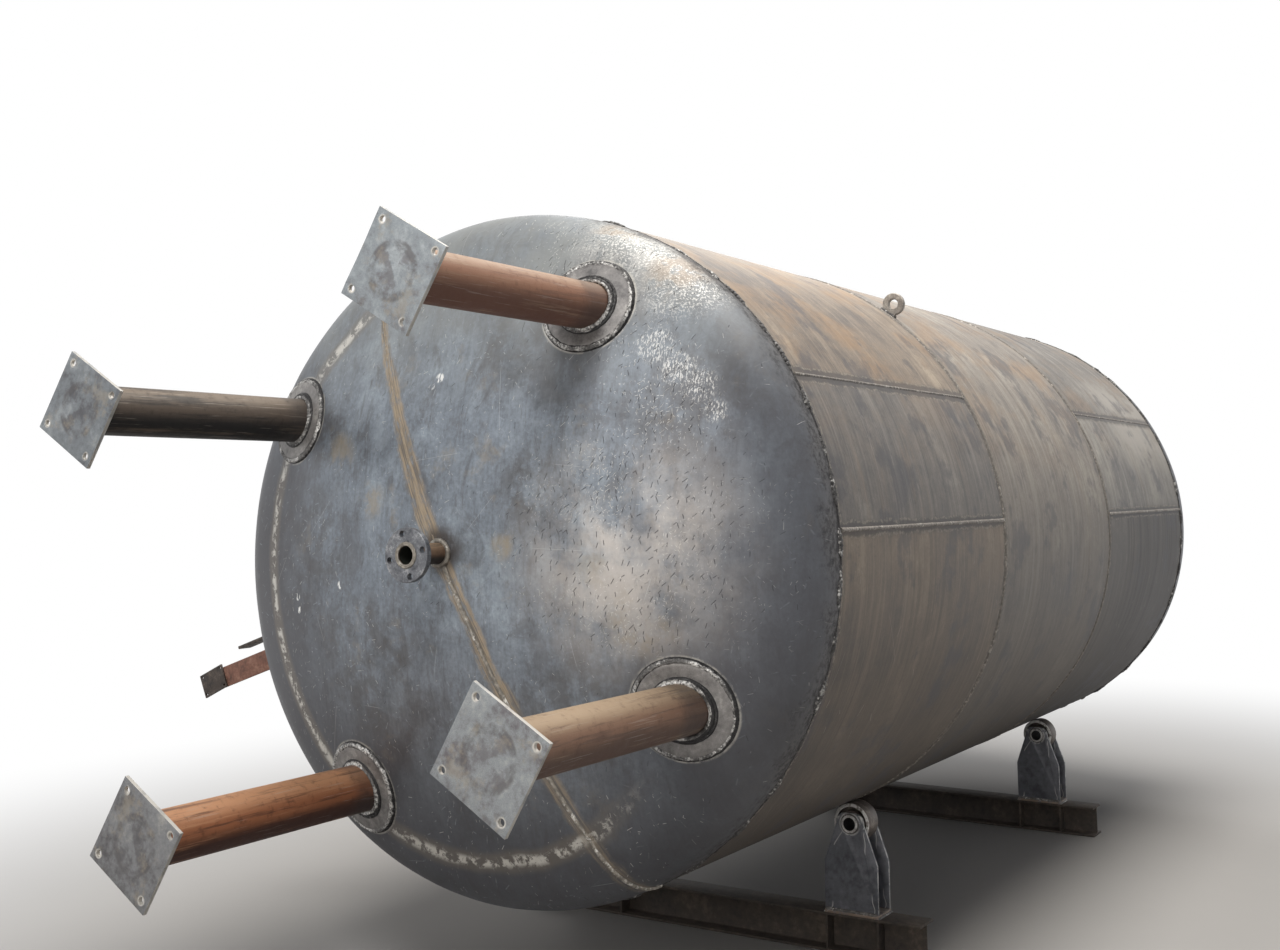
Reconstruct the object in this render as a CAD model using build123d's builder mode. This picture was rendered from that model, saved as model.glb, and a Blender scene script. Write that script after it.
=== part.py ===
from build123d import *
import os
from math import acos, asin, cos, degrees, pi, radians, sin, sqrt

# A four-legged steel storage tank, lying on two roller stands while it is being built.
# The tank's axis runs along X, with the legs and the bottom head towards -X. The origin is
# on the floor, under the tank's axis and in the middle of the front stand. Sizes are in mm.
# A station is a distance along the axis from the joint between bottom head and shell.

# Shell
SHELL_OD = 2100.0
SHELL_WALL = 8.0
COURSE_WIDTH = 1501.0
COURSES = 3
ROOT_GAP = 3.0
LONG_SEAM_ANGLE = 176.0
STRIP_ARC = 25.5
MIDDLE_COURSE_TURN = 118.0

# Heads: crown radius as large as the diameter, with a knuckle and a short straight flange
CROWN_RADIUS = 2100.0
KNUCKLE_RADIUS = 240.0
STRAIGHT_FLANGE = 35.0
HEAD_WALL = 10.0
HEAD_SEAM_ANGLE = 62.7
PROFILE_ANGLE = HEAD_SEAM_ANGLE + 90

# Weld beads
CAP_WIDTH = 16.0
CAP_HEIGHT = 2.5
TACK_RECESS = 3.0
TACK_ARC = 1.1
TACKS = 26
FILLET_LEG = 8.0

# Legs, counted round from the one on the far side of the axis
LEG_CIRCLE = 815.0
LEG_ANGLE = 29.3
LEGS = ("far_upper", "near_upper", "near_lower", "far_lower")
LEG_OD = 139.7
LEG_WALL = 6.3
LEG_REACH = 1182.0
PAD_RADIUS = 125.0
PAD_THICKNESS = 10.0
BASE_SIDE = 240.0
BASE_THICKNESS = 12.0
BASE_HOLE_SPACING = 190.0
BASE_HOLE_RADIUS = 9.0

# Flanged nozzles on the axis, one in each head
NECK_OD = 60.3
NECK_WALL = 3.9
NECK_INSIDE = 6.0
NOZZLE_REACH = 150.0
FLANGE_OD = 152.4
FLANGE_THICKNESS = 19.0
FLANGE_CIRCLE = 120.7
FLANGE_HOLES = 4
FLANGE_HOLE_RADIUS = 9.5
NECK_SETBACK = 5.0
FACE_BEAD_WIDTH = 7.0
FACE_BEAD_HEIGHT = 3.0

# Manhole in the top head
MANHOLE_CIRCLE = 520.0
MANHOLE_ANGLE = -15.7
MANHOLE_OD = 508.0
MANHOLE_WALL = 8.0
MANHOLE_REACH = 110.0
MANHOLE_FLANGE_OD = 660.0
MANHOLE_FLANGE_THICKNESS = 20.0
MANHOLE_COVER_THICKNESS = 18.0
MANHOLE_BOLT_CIRCLE = 600.0
MANHOLE_BOLTS = 20
MANHOLE_BOLT_RADIUS = 10.0

# Lifting eyes
EYE_STATION = 1541.0
EYE_ANGLE = 125.5
EYE_RADIUS = 43.0
EYE_HOLE_RADIUS = 19.0
EYE_THICKNESS = 20.0
EYE_STANDOFF = 40.0
EYE_FOOT_WIDTH = 60.0

# Side cleats near the bottom head
CLEAT_STATION = 60.0
CLEAT_ANGLE = -19.7
CLEAT_REACH = 420.0
CLEAT_WIDTH = 70.0
CLEAT_THICKNESS = 10.0
CLEAT_PLATE_LENGTH = 113.0
CLEAT_PLATE_WIDTH = 82.0
CLEAT_PLATE_TURN = -6.0
CLEAT_PLATE_THICKNESS = 8.0
CLEAT_PLATE_LAP = 25.0
CLEAT_HOLE_INSET = 10.0
CLEAT_HOLE_RADIUS = 4.5
FIN_REACH = 308.0
FIN_THICKNESS = 10.0
FIN_DEPTH = 60.0
FIN_CLEARANCE = 43.0

# Roller stands
FRONT_STAND_STATION = 1315.0
REAR_STAND_STATION = 3600.0
BEAM_LENGTH = 1550.0
BEAM_WIDTH = 125.0
BEAM_HEIGHT = 130.0
BEAM_FLANGE = 9.0
BEAM_WEB = 7.0
STIFFENER_THICKNESS = 8.0
STIFFENER_INSET = 3.0
BRACKET_WIDTH = 200.0
BRACKET_FOOT = 12.0
BRACKET_PLATE = 10.0
BRACKET_GAP = 95.0
BRACKET_SHOULDER = 174.0
BRACKET_NECK = 104.0
BRACKET_TOP = 36.0
BRACKET_CORNER = 30.0
PIN_RISE = 306.0
PIN_OD = 60.3
PIN_BORE = 42.0
PIN_END = 6.0
ROLLER_ANGLE = 27.8
ROLLER_RADIUS = 67.5
ROLLER_WIDTH = 85.0
ROLLER_RIM = 12.0
ROLLER_WEB = 30.0
ROLLER_HUB_RADIUS = 43.0
ROLLER_EDGE = 3.0
HUB_CLEARANCE = 0.3
BORE_CLEARANCE = 0.3
SEAT_CLEARANCE = 0.3

# Derived sizes
SHELL_R = SHELL_OD / 2
SHELL_LENGTH = COURSES * COURSE_WIDTH + (COURSES - 1) * ROOT_GAP
BOTTOM_JOINT = -ROOT_GAP / 2
TOP_JOINT = SHELL_LENGTH + ROOT_GAP / 2
CROWN_TO_KNUCKLE = sqrt((CROWN_RADIUS - KNUCKLE_RADIUS) ** 2 - (SHELL_R - KNUCKLE_RADIUS) ** 2)
CROWN_ANGLE = asin((SHELL_R - KNUCKLE_RADIUS) / (CROWN_RADIUS - KNUCKLE_RADIUS))
HEAD_DEPTH = STRAIGHT_FLANGE + CROWN_RADIUS - CROWN_TO_KNUCKLE
PIN_CIRCLE = SHELL_R + ROLLER_RADIUS + SEAT_CLEARANCE
PIN_Y = PIN_CIRCLE * sin(radians(ROLLER_ANGLE))
PIN_Z = BEAM_HEIGHT + PIN_RISE
AXIS_Z = PIN_Z + PIN_CIRCLE * cos(radians(ROLLER_ANGLE))
TANK_AXIS = Axis((0, 0, AXIS_Z), (1, 0, 0))
NECK_R = NECK_OD / 2
LEG_R = LEG_OD / 2
PIN_R = PIN_OD / 2


def radial_plane(station, angle):
    """A plane through the tank's axis: local x runs along the axis, local y outwards."""
    a = radians(angle)
    return Plane(
        origin=(station - FRONT_STAND_STATION, 0, AXIS_Z), x_dir=(1, 0, 0), z_dir=(0, -sin(a), cos(a))
    )


def cross_plane(station):
    """A plane square to the tank's axis: local x runs along +Y and local y along +Z."""
    return Plane(origin=(station - FRONT_STAND_STATION, 0, AXIS_Z), x_dir=(0, 1, 0), z_dir=(1, 0, 0))


def dish_point(angle, offset, out):
    """A point of a head's outside, moved outwards by offset. The angle is measured at the crown's centre."""
    radius = CROWN_RADIUS + offset
    return (out * (STRAIGHT_FLANGE - CROWN_TO_KNUCKLE + radius * cos(angle)), radius * sin(angle))


def knuckle_point(angle, offset, out):
    """A point of the knuckle, with the angle measured from the radial direction."""
    radius = KNUCKLE_RADIUS + offset
    return (out * (STRAIGHT_FLANGE + radius * sin(angle)), SHELL_R - KNUCKLE_RADIUS + radius * cos(angle))


def draw_dish(offset, out):
    """Draws half of a head's profile in the open line: straight flange, knuckle and crown."""
    turn = pi / 2 - CROWN_ANGLE
    Line((0, SHELL_R + offset), (out * STRAIGHT_FLANGE, SHELL_R + offset))
    ThreePointArc(
        knuckle_point(0, offset, out), knuckle_point(turn / 2, offset, out), knuckle_point(turn, offset, out)
    )
    ThreePointArc(
        dish_point(CROWN_ANGLE, offset, out), dish_point(CROWN_ANGLE / 2, offset, out), dish_point(0, offset, out)
    )


def dish_layer(joint, out, inner, outer):
    """A closed layer of even thickness between two offsets of a head's outside."""
    with BuildPart() as layer:
        with BuildSketch(radial_plane(joint, PROFILE_ANGLE)):
            with BuildLine():
                draw_dish(inner, out)
                Line(dish_point(0, inner, out), dish_point(0, outer, out))
                draw_dish(outer, out)
                Line((0, SHELL_R + outer), (0, SHELL_R + inner))
            make_face()
        revolve(axis=TANK_AXIS)
    return layer.part


def dish_core(joint, out, offset):
    """All that lies inside a head's outside, moved outwards by offset."""
    with BuildPart() as core:
        with BuildSketch(radial_plane(joint, PROFILE_ANGLE)):
            with BuildLine():
                Line((0, 0), (0, SHELL_R + offset))
                draw_dish(offset, out)
                Line(dish_point(0, offset, out), (0, 0))
            make_face()
        revolve(axis=TANK_AXIS)
    return core.part


def ring_on_head(joint, out, circle, angle, bore, radius, inner, outer):
    """A ring that follows the head, between two offsets, round an axis parallel to the tank's."""
    layer = dish_layer(joint, out, inner, outer)
    with BuildPart() as ring:
        add(layer)
        with BuildSketch(cross_plane(joint)):
            with PolarLocations(circle, 1, start_angle=angle):
                Circle(radius)
                if bore:
                    Circle(bore, mode=Mode.SUBTRACT)
        extrude(amount=out * (HEAD_DEPTH + outer), mode=Mode.INTERSECT)
    return ring.part


def write(part, name):
    """Labels one finished sub-part and writes its file."""
    part.label = name
    export_step(part, f"parts/{name}.step")


os.makedirs("parts", exist_ok=True)


# Shell courses: each is a long rolled plate closed by a narrow strip
def course_start(index):
    """The station where a course begins."""
    return index * (COURSE_WIDTH + ROOT_GAP)


def strip_end(index):
    """The angle of the seam at the strip's far edge. The middle course is turned against the others."""
    return LONG_SEAM_ANGLE + (MIDDLE_COURSE_TURN if index % 2 else 0)


GAP_ARC = degrees(ROOT_GAP / SHELL_R)
CAP_ARC = degrees(CAP_WIDTH / SHELL_R)
CAP_OVERLAP = (CAP_WIDTH - ROOT_GAP) / 2

for index in range(COURSES):
    last = strip_end(index)
    first = last - STRIP_ARC
    with BuildPart() as strip:
        with BuildSketch(radial_plane(course_start(index), first + GAP_ARC / 2)):
            with Locations((COURSE_WIDTH / 2, SHELL_R - SHELL_WALL / 2)):
                Rectangle(COURSE_WIDTH, SHELL_WALL)
        revolve(axis=TANK_AXIS, revolution_arc=STRIP_ARC - GAP_ARC)
    write(strip.part, f"course_{index + 1}_closing_strip")
    with BuildPart() as plate:
        with BuildSketch(radial_plane(course_start(index), last + GAP_ARC / 2)):
            with Locations((COURSE_WIDTH / 2, SHELL_R - SHELL_WALL / 2)):
                Rectangle(COURSE_WIDTH, SHELL_WALL)
        revolve(axis=TANK_AXIS, revolution_arc=360 - STRIP_ARC - GAP_ARC)
    write(plate.part, f"course_{index + 1}_plate")

# Lengthwise seams: a root that fills the gap and a low cap that stops short of the girth seams
with BuildPart() as long_seams:
    for index in range(COURSES):
        for seam in (strip_end(index) - STRIP_ARC, strip_end(index)):
            with BuildSketch(radial_plane(course_start(index), seam - GAP_ARC / 2)):
                with Locations((COURSE_WIDTH / 2, SHELL_R - SHELL_WALL / 2)):
                    Rectangle(COURSE_WIDTH, SHELL_WALL)
            revolve(axis=TANK_AXIS, revolution_arc=GAP_ARC)
            with BuildSketch(radial_plane(course_start(index), seam - CAP_ARC / 2)):
                with Locations((COURSE_WIDTH / 2, SHELL_R + CAP_HEIGHT / 2)):
                    Rectangle(COURSE_WIDTH - 2 * CAP_OVERLAP, CAP_HEIGHT)
            revolve(axis=TANK_AXIS, revolution_arc=CAP_ARC)
write(long_seams.part, "lengthwise_seam_welds")

# Girth seams between the courses
with BuildPart() as girth_seams:
    for index in range(1, COURSES):
        with BuildSketch(radial_plane(course_start(index) - ROOT_GAP / 2, 0)):
            with BuildLine():
                Polyline(
                    (-CAP_WIDTH / 2, SHELL_R),
                    (-ROOT_GAP / 2, SHELL_R),
                    (-ROOT_GAP / 2, SHELL_R - SHELL_WALL),
                    (ROOT_GAP / 2, SHELL_R - SHELL_WALL),
                    (ROOT_GAP / 2, SHELL_R),
                    (CAP_WIDTH / 2, SHELL_R),
                )
                ThreePointArc(
                    (CAP_WIDTH / 2, SHELL_R), (0, SHELL_R + CAP_HEIGHT), (-CAP_WIDTH / 2, SHELL_R)
                )
            make_face()
        revolve(axis=TANK_AXIS)
write(girth_seams.part, "girth_seam_welds")

# Joints between shell and heads: a sunk root run, bridged by tack welds
with BuildPart() as head_joints:
    for joint in (BOTTOM_JOINT, TOP_JOINT):
        with BuildSketch(radial_plane(joint, 0)):
            with Locations((0, SHELL_R - (SHELL_WALL + TACK_RECESS) / 2)):
                Rectangle(ROOT_GAP, SHELL_WALL - TACK_RECESS)
        revolve(axis=TANK_AXIS)
        for tack in range(TACKS):
            drift = 3.5 * sin(2.4 * tack)
            with BuildSketch(radial_plane(joint, 360 * tack / TACKS + drift)):
                with BuildLine():
                    Polyline(
                        (-CAP_WIDTH / 2, SHELL_R),
                        (-ROOT_GAP / 2, SHELL_R),
                        (-ROOT_GAP / 2, SHELL_R - TACK_RECESS),
                        (ROOT_GAP / 2, SHELL_R - TACK_RECESS),
                        (ROOT_GAP / 2, SHELL_R),
                        (CAP_WIDTH / 2, SHELL_R),
                    )
                    ThreePointArc(
                        (CAP_WIDTH / 2, SHELL_R), (0, SHELL_R + CAP_HEIGHT), (-CAP_WIDTH / 2, SHELL_R)
                    )
                make_face()
            revolve(axis=TANK_AXIS, revolution_arc=TACK_ARC)
write(head_joints.part, "head_joint_welds")

# Heads: each is pressed from two halves, welded along a seam through the centre
MANHOLE_R = MANHOLE_OD / 2
HEADS = (("bottom", BOTTOM_JOINT, -1), ("top", TOP_JOINT, 1))
for name, joint, out in HEADS:
    rim = joint + out * ROOT_GAP / 2
    for side, normal in (("upper", -1), ("lower", 1)):
        seam_face = radial_plane(rim, HEAD_SEAM_ANGLE).offset(-normal * ROOT_GAP / 2)
        with BuildPart() as half:
            with BuildSketch(radial_plane(rim, PROFILE_ANGLE)):
                with BuildLine():
                    draw_dish(0, out)
                    Line(dish_point(0, 0, out), dish_point(0, -HEAD_WALL, out))
                    draw_dish(-HEAD_WALL, out)
                    Line((0, SHELL_R - HEAD_WALL), (0, SHELL_R))
                make_face()
            revolve(axis=TANK_AXIS)
            split(bisect_by=seam_face, keep=Keep.BOTTOM if normal > 0 else Keep.TOP)
            with BuildSketch(cross_plane(rim)):
                Circle(NECK_R)
                if name == "top":
                    with PolarLocations(MANHOLE_CIRCLE, 1, start_angle=MANHOLE_ANGLE):
                        Circle(MANHOLE_R)
            extrude(amount=out * HEAD_DEPTH, mode=Mode.SUBTRACT)
        write(half.part, f"{name}_head_{side}_half")

head_seams = []
for name, joint, out in HEADS:
    rim = joint + out * ROOT_GAP / 2
    middle = radial_plane(rim, HEAD_SEAM_ANGLE)
    with BuildPart() as root_run:
        add(dish_layer(rim, out, -HEAD_WALL, 0))
        split(bisect_by=middle.offset(ROOT_GAP / 2), keep=Keep.BOTTOM)
        split(bisect_by=middle.offset(-ROOT_GAP / 2), keep=Keep.TOP)
    with BuildPart() as cap_run:
        add(dish_layer(rim, out, 0, CAP_HEIGHT))
        split(bisect_by=middle.offset(CAP_WIDTH / 2), keep=Keep.BOTTOM)
        split(bisect_by=middle.offset(-CAP_WIDTH / 2), keep=Keep.TOP)
        with BuildSketch(cross_plane(rim)):
            Circle(NECK_R + FILLET_LEG)
        extrude(amount=out * (HEAD_DEPTH + CAP_HEIGHT), mode=Mode.SUBTRACT)
    with BuildPart() as seam:
        add(root_run.part)
        add(cap_run.part)
        with BuildSketch(cross_plane(rim)):
            Circle(NECK_R)
        extrude(amount=out * (HEAD_DEPTH + CAP_HEIGHT), mode=Mode.SUBTRACT)
    head_seams.append(seam.part)
with BuildPart() as all_head_seams:
    for seam_part in head_seams:
        add(seam_part)
write(all_head_seams.part, "head_seam_welds")

# Legs: a pad on the head, a pipe cut to the pad's curve and a square base plate
BOTTOM_RIM = BOTTOM_JOINT - ROOT_GAP / 2
pads = []
for count in range(len(LEGS)):
    angle = LEG_ANGLE + 360 * count / len(LEGS)
    pad = ring_on_head(BOTTOM_RIM, -1, LEG_CIRCLE, angle, 0, PAD_RADIUS, 0, PAD_THICKNESS)
    bead = ring_on_head(
        BOTTOM_RIM, -1, LEG_CIRCLE, angle, PAD_RADIUS, PAD_RADIUS + FILLET_LEG, 0, FILLET_LEG * 0.75
    )
    pads += [pad, bead]
with BuildPart() as leg_pads:
    for piece in pads:
        add(piece)
write(leg_pads.part, "leg_pads")

pad_core = dish_core(BOTTOM_RIM, -1, PAD_THICKNESS)
for count, leg in enumerate(LEGS):
    angle = LEG_ANGLE + 360 * count / len(LEGS)
    foot_bead = ring_on_head(
        BOTTOM_RIM, -1, LEG_CIRCLE, angle, LEG_R, LEG_R + FILLET_LEG, PAD_THICKNESS, PAD_THICKNESS + FILLET_LEG
    )
    plate_back = -LEG_REACH + BASE_THICKNESS
    with BuildPart() as pipe:
        with BuildSketch(cross_plane(plate_back)):
            with PolarLocations(LEG_CIRCLE, 1, start_angle=angle):
                Circle(LEG_R)
        extrude(amount=BOTTOM_RIM - plate_back)
        add(pad_core, mode=Mode.SUBTRACT)
        add(foot_bead)
        with Locations(cross_plane(plate_back)):
            with PolarLocations(LEG_CIRCLE, 1, start_angle=angle):
                Cone(LEG_R + FILLET_LEG, LEG_R, FILLET_LEG, align=(Align.CENTER, Align.CENTER, Align.MIN))
        with BuildSketch(cross_plane(plate_back)):
            with PolarLocations(LEG_CIRCLE, 1, start_angle=angle):
                Circle(LEG_R - LEG_WALL)
        extrude(amount=BOTTOM_RIM - plate_back, mode=Mode.SUBTRACT)
    write(pipe.part, f"leg_pipe_{leg}")
    with BuildPart() as base:
        with BuildSketch(cross_plane(-LEG_REACH)):
            with PolarLocations(LEG_CIRCLE, 1, start_angle=angle):
                Rectangle(BASE_SIDE, BASE_SIDE)
                with GridLocations(BASE_HOLE_SPACING, BASE_HOLE_SPACING, 2, 2):
                    Circle(BASE_HOLE_RADIUS, mode=Mode.SUBTRACT)
        extrude(amount=BASE_THICKNESS)
    write(base.part, f"base_plate_{leg}")

# Nozzles: a neck through the head, welded inside a flat flange
for name, joint, out in HEADS:
    rim = joint + out * ROOT_GAP / 2
    face = rim + out * (HEAD_DEPTH + NOZZLE_REACH)
    root_bead = ring_on_head(rim, out, 0, 0, NECK_R, NECK_R + FILLET_LEG, 0, FILLET_LEG)
    inner_end = rim + out * (HEAD_DEPTH - HEAD_WALL - NECK_INSIDE)
    neck_length = HEAD_WALL + NECK_INSIDE + NOZZLE_REACH - NECK_SETBACK
    with BuildPart() as neck:
        with BuildSketch(cross_plane(inner_end)):
            Circle(NECK_R)
            Circle(NECK_R - NECK_WALL, mode=Mode.SUBTRACT)
        extrude(amount=out * neck_length)
        add(root_bead)
        with BuildSketch(radial_plane(face, 0)):
            with BuildLine():
                Polyline(
                    (0, NECK_R - NECK_WALL),
                    (-out * NECK_SETBACK, NECK_R - NECK_WALL),
                    (-out * NECK_SETBACK, NECK_R),
                    (0, NECK_R),
                    (0, NECK_R + FACE_BEAD_WIDTH),
                )
                ThreePointArc(
                    (0, NECK_R + FACE_BEAD_WIDTH),
                    (out * FACE_BEAD_HEIGHT, NECK_R + (FACE_BEAD_WIDTH - NECK_WALL) / 2),
                    (0, NECK_R - NECK_WALL),
                )
            make_face()
        revolve(axis=TANK_AXIS)
    write(neck.part, f"{name}_nozzle_neck")
    with BuildPart() as flange:
        with BuildSketch(cross_plane(face)):
            Circle(FLANGE_OD / 2)
            Circle(NECK_R, mode=Mode.SUBTRACT)
            with PolarLocations(FLANGE_CIRCLE / 2, FLANGE_HOLES, start_angle=LEG_ANGLE + 45):
                Circle(FLANGE_HOLE_RADIUS, mode=Mode.SUBTRACT)
        extrude(amount=-out * FLANGE_THICKNESS)
    write(flange.part, f"{name}_nozzle_flange")

# Manhole: neck, flange and bolted cover
TOP_RIM = TOP_JOINT + ROOT_GAP / 2
MANHOLE_FACE = TOP_RIM + HEAD_DEPTH + MANHOLE_REACH
inside_of_head = dish_core(TOP_RIM, 1, -HEAD_WALL - NECK_INSIDE)
manhole_bead = ring_on_head(
    TOP_RIM, 1, MANHOLE_CIRCLE, MANHOLE_ANGLE, MANHOLE_R, MANHOLE_R + FILLET_LEG, 0, FILLET_LEG
)
with BuildPart() as manhole_neck:
    with BuildSketch(cross_plane(TOP_RIM)):
        with PolarLocations(MANHOLE_CIRCLE, 1, start_angle=MANHOLE_ANGLE):
            Circle(MANHOLE_R)
            Circle(MANHOLE_R - MANHOLE_WALL, mode=Mode.SUBTRACT)
    extrude(amount=HEAD_DEPTH + MANHOLE_REACH)
    add(inside_of_head, mode=Mode.SUBTRACT)
    add(manhole_bead)
write(manhole_neck.part, "manhole_neck")

with BuildPart() as manhole_flange:
    with BuildSketch(cross_plane(MANHOLE_FACE)):
        with PolarLocations(MANHOLE_CIRCLE, 1, start_angle=MANHOLE_ANGLE):
            Circle(MANHOLE_FLANGE_OD / 2)
            Circle(MANHOLE_R, mode=Mode.SUBTRACT)
            with PolarLocations(MANHOLE_BOLT_CIRCLE / 2, MANHOLE_BOLTS):
                Circle(MANHOLE_BOLT_RADIUS, mode=Mode.SUBTRACT)
    extrude(amount=-MANHOLE_FLANGE_THICKNESS)
write(manhole_flange.part, "manhole_flange")

with BuildPart() as manhole_cover:
    with BuildSketch(cross_plane(MANHOLE_FACE)):
        with PolarLocations(MANHOLE_CIRCLE, 1, start_angle=MANHOLE_ANGLE):
            Circle(MANHOLE_FLANGE_OD / 2)
            with PolarLocations(MANHOLE_BOLT_CIRCLE / 2, MANHOLE_BOLTS):
                Circle(MANHOLE_BOLT_RADIUS, mode=Mode.SUBTRACT)
    extrude(amount=MANHOLE_COVER_THICKNESS)
write(manhole_cover.part, "manhole_cover")

# Lifting eyes: two rings that stand on the shell, opposite each other
with BuildPart() as eyes:
    with BuildSketch(cross_plane(EYE_STATION - EYE_THICKNESS / 2)):
        with PolarLocations(SHELL_R + EYE_STANDOFF, 2, start_angle=EYE_ANGLE):
            Circle(EYE_RADIUS)
            with Locations((-EYE_STANDOFF / 2, 0)):
                Rectangle(EYE_STANDOFF + CAP_WIDTH, EYE_FOOT_WIDTH)
        Circle(SHELL_R, mode=Mode.SUBTRACT)
        with PolarLocations(SHELL_R + EYE_STANDOFF, 2, start_angle=EYE_ANGLE):
            Circle(EYE_HOLE_RADIUS, mode=Mode.SUBTRACT)
    extrude(amount=EYE_THICKNESS)
write(eyes.part, "lifting_eyes")

# Side cleats: a flat arm with a drilled plate lapped on its end, and a fin above it
with BuildPart() as arm:
    with BuildSketch(cross_plane(CLEAT_STATION)):
        with PolarLocations(SHELL_R, 1, start_angle=CLEAT_ANGLE):
            Rectangle(2 * CLEAT_REACH, CLEAT_WIDTH)
        Circle(SHELL_R, mode=Mode.SUBTRACT)
    extrude(amount=CLEAT_THICKNESS)
write(arm.part, "side_cleat_arm")

CLEAT_PLATE_CIRCLE = SHELL_R + CLEAT_REACH - CLEAT_PLATE_LAP + CLEAT_PLATE_LENGTH / 2
with BuildPart() as cleat_plate:
    with BuildSketch(cross_plane(CLEAT_STATION)):
        with PolarLocations(CLEAT_PLATE_CIRCLE, 1, start_angle=CLEAT_ANGLE):
            with Locations(Location((0, 0, 0), (0, 0, CLEAT_PLATE_TURN))):
                Rectangle(CLEAT_PLATE_LENGTH, CLEAT_PLATE_WIDTH)
                with GridLocations(
                    CLEAT_PLATE_LENGTH - 2 * CLEAT_HOLE_INSET, CLEAT_PLATE_WIDTH - 2 * CLEAT_HOLE_INSET, 2, 2
                ):
                    Circle(CLEAT_HOLE_RADIUS, mode=Mode.SUBTRACT)
    extrude(amount=-CLEAT_PLATE_THICKNESS)
write(cleat_plate.part, "side_cleat_plate")

with BuildPart() as fin:
    with BuildSketch(cross_plane(CLEAT_STATION)):
        with PolarLocations(SHELL_R, 1, start_angle=CLEAT_ANGLE):
            with Locations((0, CLEAT_WIDTH / 2 + FIN_CLEARANCE)):
                Rectangle(2 * FIN_REACH, FIN_THICKNESS)
        Circle(SHELL_R, mode=Mode.SUBTRACT)
    extrude(amount=FIN_DEPTH)
write(fin.part, "side_cleat_fin")

# Roller stands: an H-beam across the tank, two forked brackets, and a roller on a hollow pin in each
STANDS = (("front", FRONT_STAND_STATION), ("rear", REAR_STAND_STATION))
SIDES = (("right", -1), ("left", 1))
WEB_HEIGHT = BEAM_HEIGHT - 2 * BEAM_FLANGE
POCKET_DEPTH = (BEAM_WIDTH - BEAM_WEB) / 2
BRACKET_DEPTH = BRACKET_GAP + 2 * BRACKET_PLATE
HUB_LENGTH = BRACKET_GAP - 2 * HUB_CLEARANCE
BORE_R = PIN_R + BORE_CLEARANCE
for stand, station in STANDS:
    centre = station - FRONT_STAND_STATION
    with BuildPart() as beam:
        with BuildSketch(Plane.XZ):
            with Locations((centre, BEAM_HEIGHT / 2)):
                Rectangle(BEAM_WIDTH, BEAM_HEIGHT)
            for pocket in (-1, 1):
                with Locations((centre + pocket * (BEAM_WEB + POCKET_DEPTH) / 2, BEAM_HEIGHT / 2)):
                    Rectangle(POCKET_DEPTH, WEB_HEIGHT, mode=Mode.SUBTRACT)
        extrude(amount=BEAM_LENGTH / 2, both=True)
        for side, sign in SIDES:
            for edge in (-1, 1):
                across = sign * PIN_Y + edge * (BRACKET_WIDTH - STIFFENER_THICKNESS) / 2
                with Locations((centre, across, BEAM_HEIGHT / 2)):
                    Box(BEAM_WIDTH - 2 * STIFFENER_INSET, STIFFENER_THICKNESS, WEB_HEIGHT)
    write(beam.part, f"{stand}_stand_beam")

    with BuildPart() as pins:
        for side, sign in SIDES:
            with BuildSketch(Plane.YZ.offset(centre)):
                with Locations((sign * PIN_Y, PIN_Z)):
                    Circle(PIN_R)
                    Circle(PIN_BORE / 2, mode=Mode.SUBTRACT)
            extrude(amount=BRACKET_DEPTH / 2 + PIN_END, both=True)
    write(pins.part, f"{stand}_stand_pins")

    for side, sign in SIDES:
        with BuildPart() as bracket:
            for face in (-1, 1):
                with BuildSketch(Plane.YZ.offset(centre + face * BRACKET_GAP / 2)) as outline:
                    with BuildLine():
                        Polyline(
                            (sign * PIN_Y - BRACKET_WIDTH / 2, BEAM_HEIGHT),
                            (sign * PIN_Y - BRACKET_WIDTH / 2, BEAM_HEIGHT + BRACKET_SHOULDER),
                            (sign * PIN_Y - BRACKET_NECK / 2, PIN_Z),
                            (sign * PIN_Y - BRACKET_NECK / 2, PIN_Z + BRACKET_TOP),
                            (sign * PIN_Y + BRACKET_NECK / 2, PIN_Z + BRACKET_TOP),
                            (sign * PIN_Y + BRACKET_NECK / 2, PIN_Z),
                            (sign * PIN_Y + BRACKET_WIDTH / 2, BEAM_HEIGHT + BRACKET_SHOULDER),
                            (sign * PIN_Y + BRACKET_WIDTH / 2, BEAM_HEIGHT),
                            close=True,
                        )
                    make_face()
                    fillet(outline.vertices().group_by(Axis.Z)[-1], BRACKET_CORNER)
                    with Locations((sign * PIN_Y, PIN_Z)):
                        Circle(PIN_R, mode=Mode.SUBTRACT)
                extrude(amount=face * BRACKET_PLATE)
            with Locations((centre, sign * PIN_Y, BEAM_HEIGHT + BRACKET_FOOT / 2)):
                Box(BEAM_WIDTH, BRACKET_WIDTH, BRACKET_FOOT)
        write(bracket.part, f"{stand}_stand_bracket_{side}")

        roller_axis = Axis((0, sign * PIN_Y, PIN_Z), (1, 0, 0))
        with BuildPart() as roller:
            with BuildSketch(Plane.XZ.offset(-sign * PIN_Y)) as section:
                with Locations((centre, PIN_Z + (ROLLER_RADIUS + BORE_R) / 2)):
                    Rectangle(ROLLER_WIDTH, ROLLER_RADIUS - BORE_R)
                chamfer(section.vertices().group_by(Axis.Z)[-1], ROLLER_EDGE)
                for end in (-1, 1):
                    recess = (ROLLER_WIDTH - ROLLER_WEB) / 2
                    with Locations((centre + end * (ROLLER_WIDTH - recess) / 2, PIN_Z + BORE_R)):
                        Rectangle(
                            recess, 2 * (ROLLER_RADIUS - ROLLER_RIM - BORE_R), mode=Mode.SUBTRACT
                        )
                with Locations((centre, PIN_Z + (ROLLER_HUB_RADIUS + BORE_R) / 2)):
                    Rectangle(HUB_LENGTH, ROLLER_HUB_RADIUS - BORE_R)
            revolve(axis=roller_axis)
        write(roller.part, f"{stand}_roller_{side}")
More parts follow.
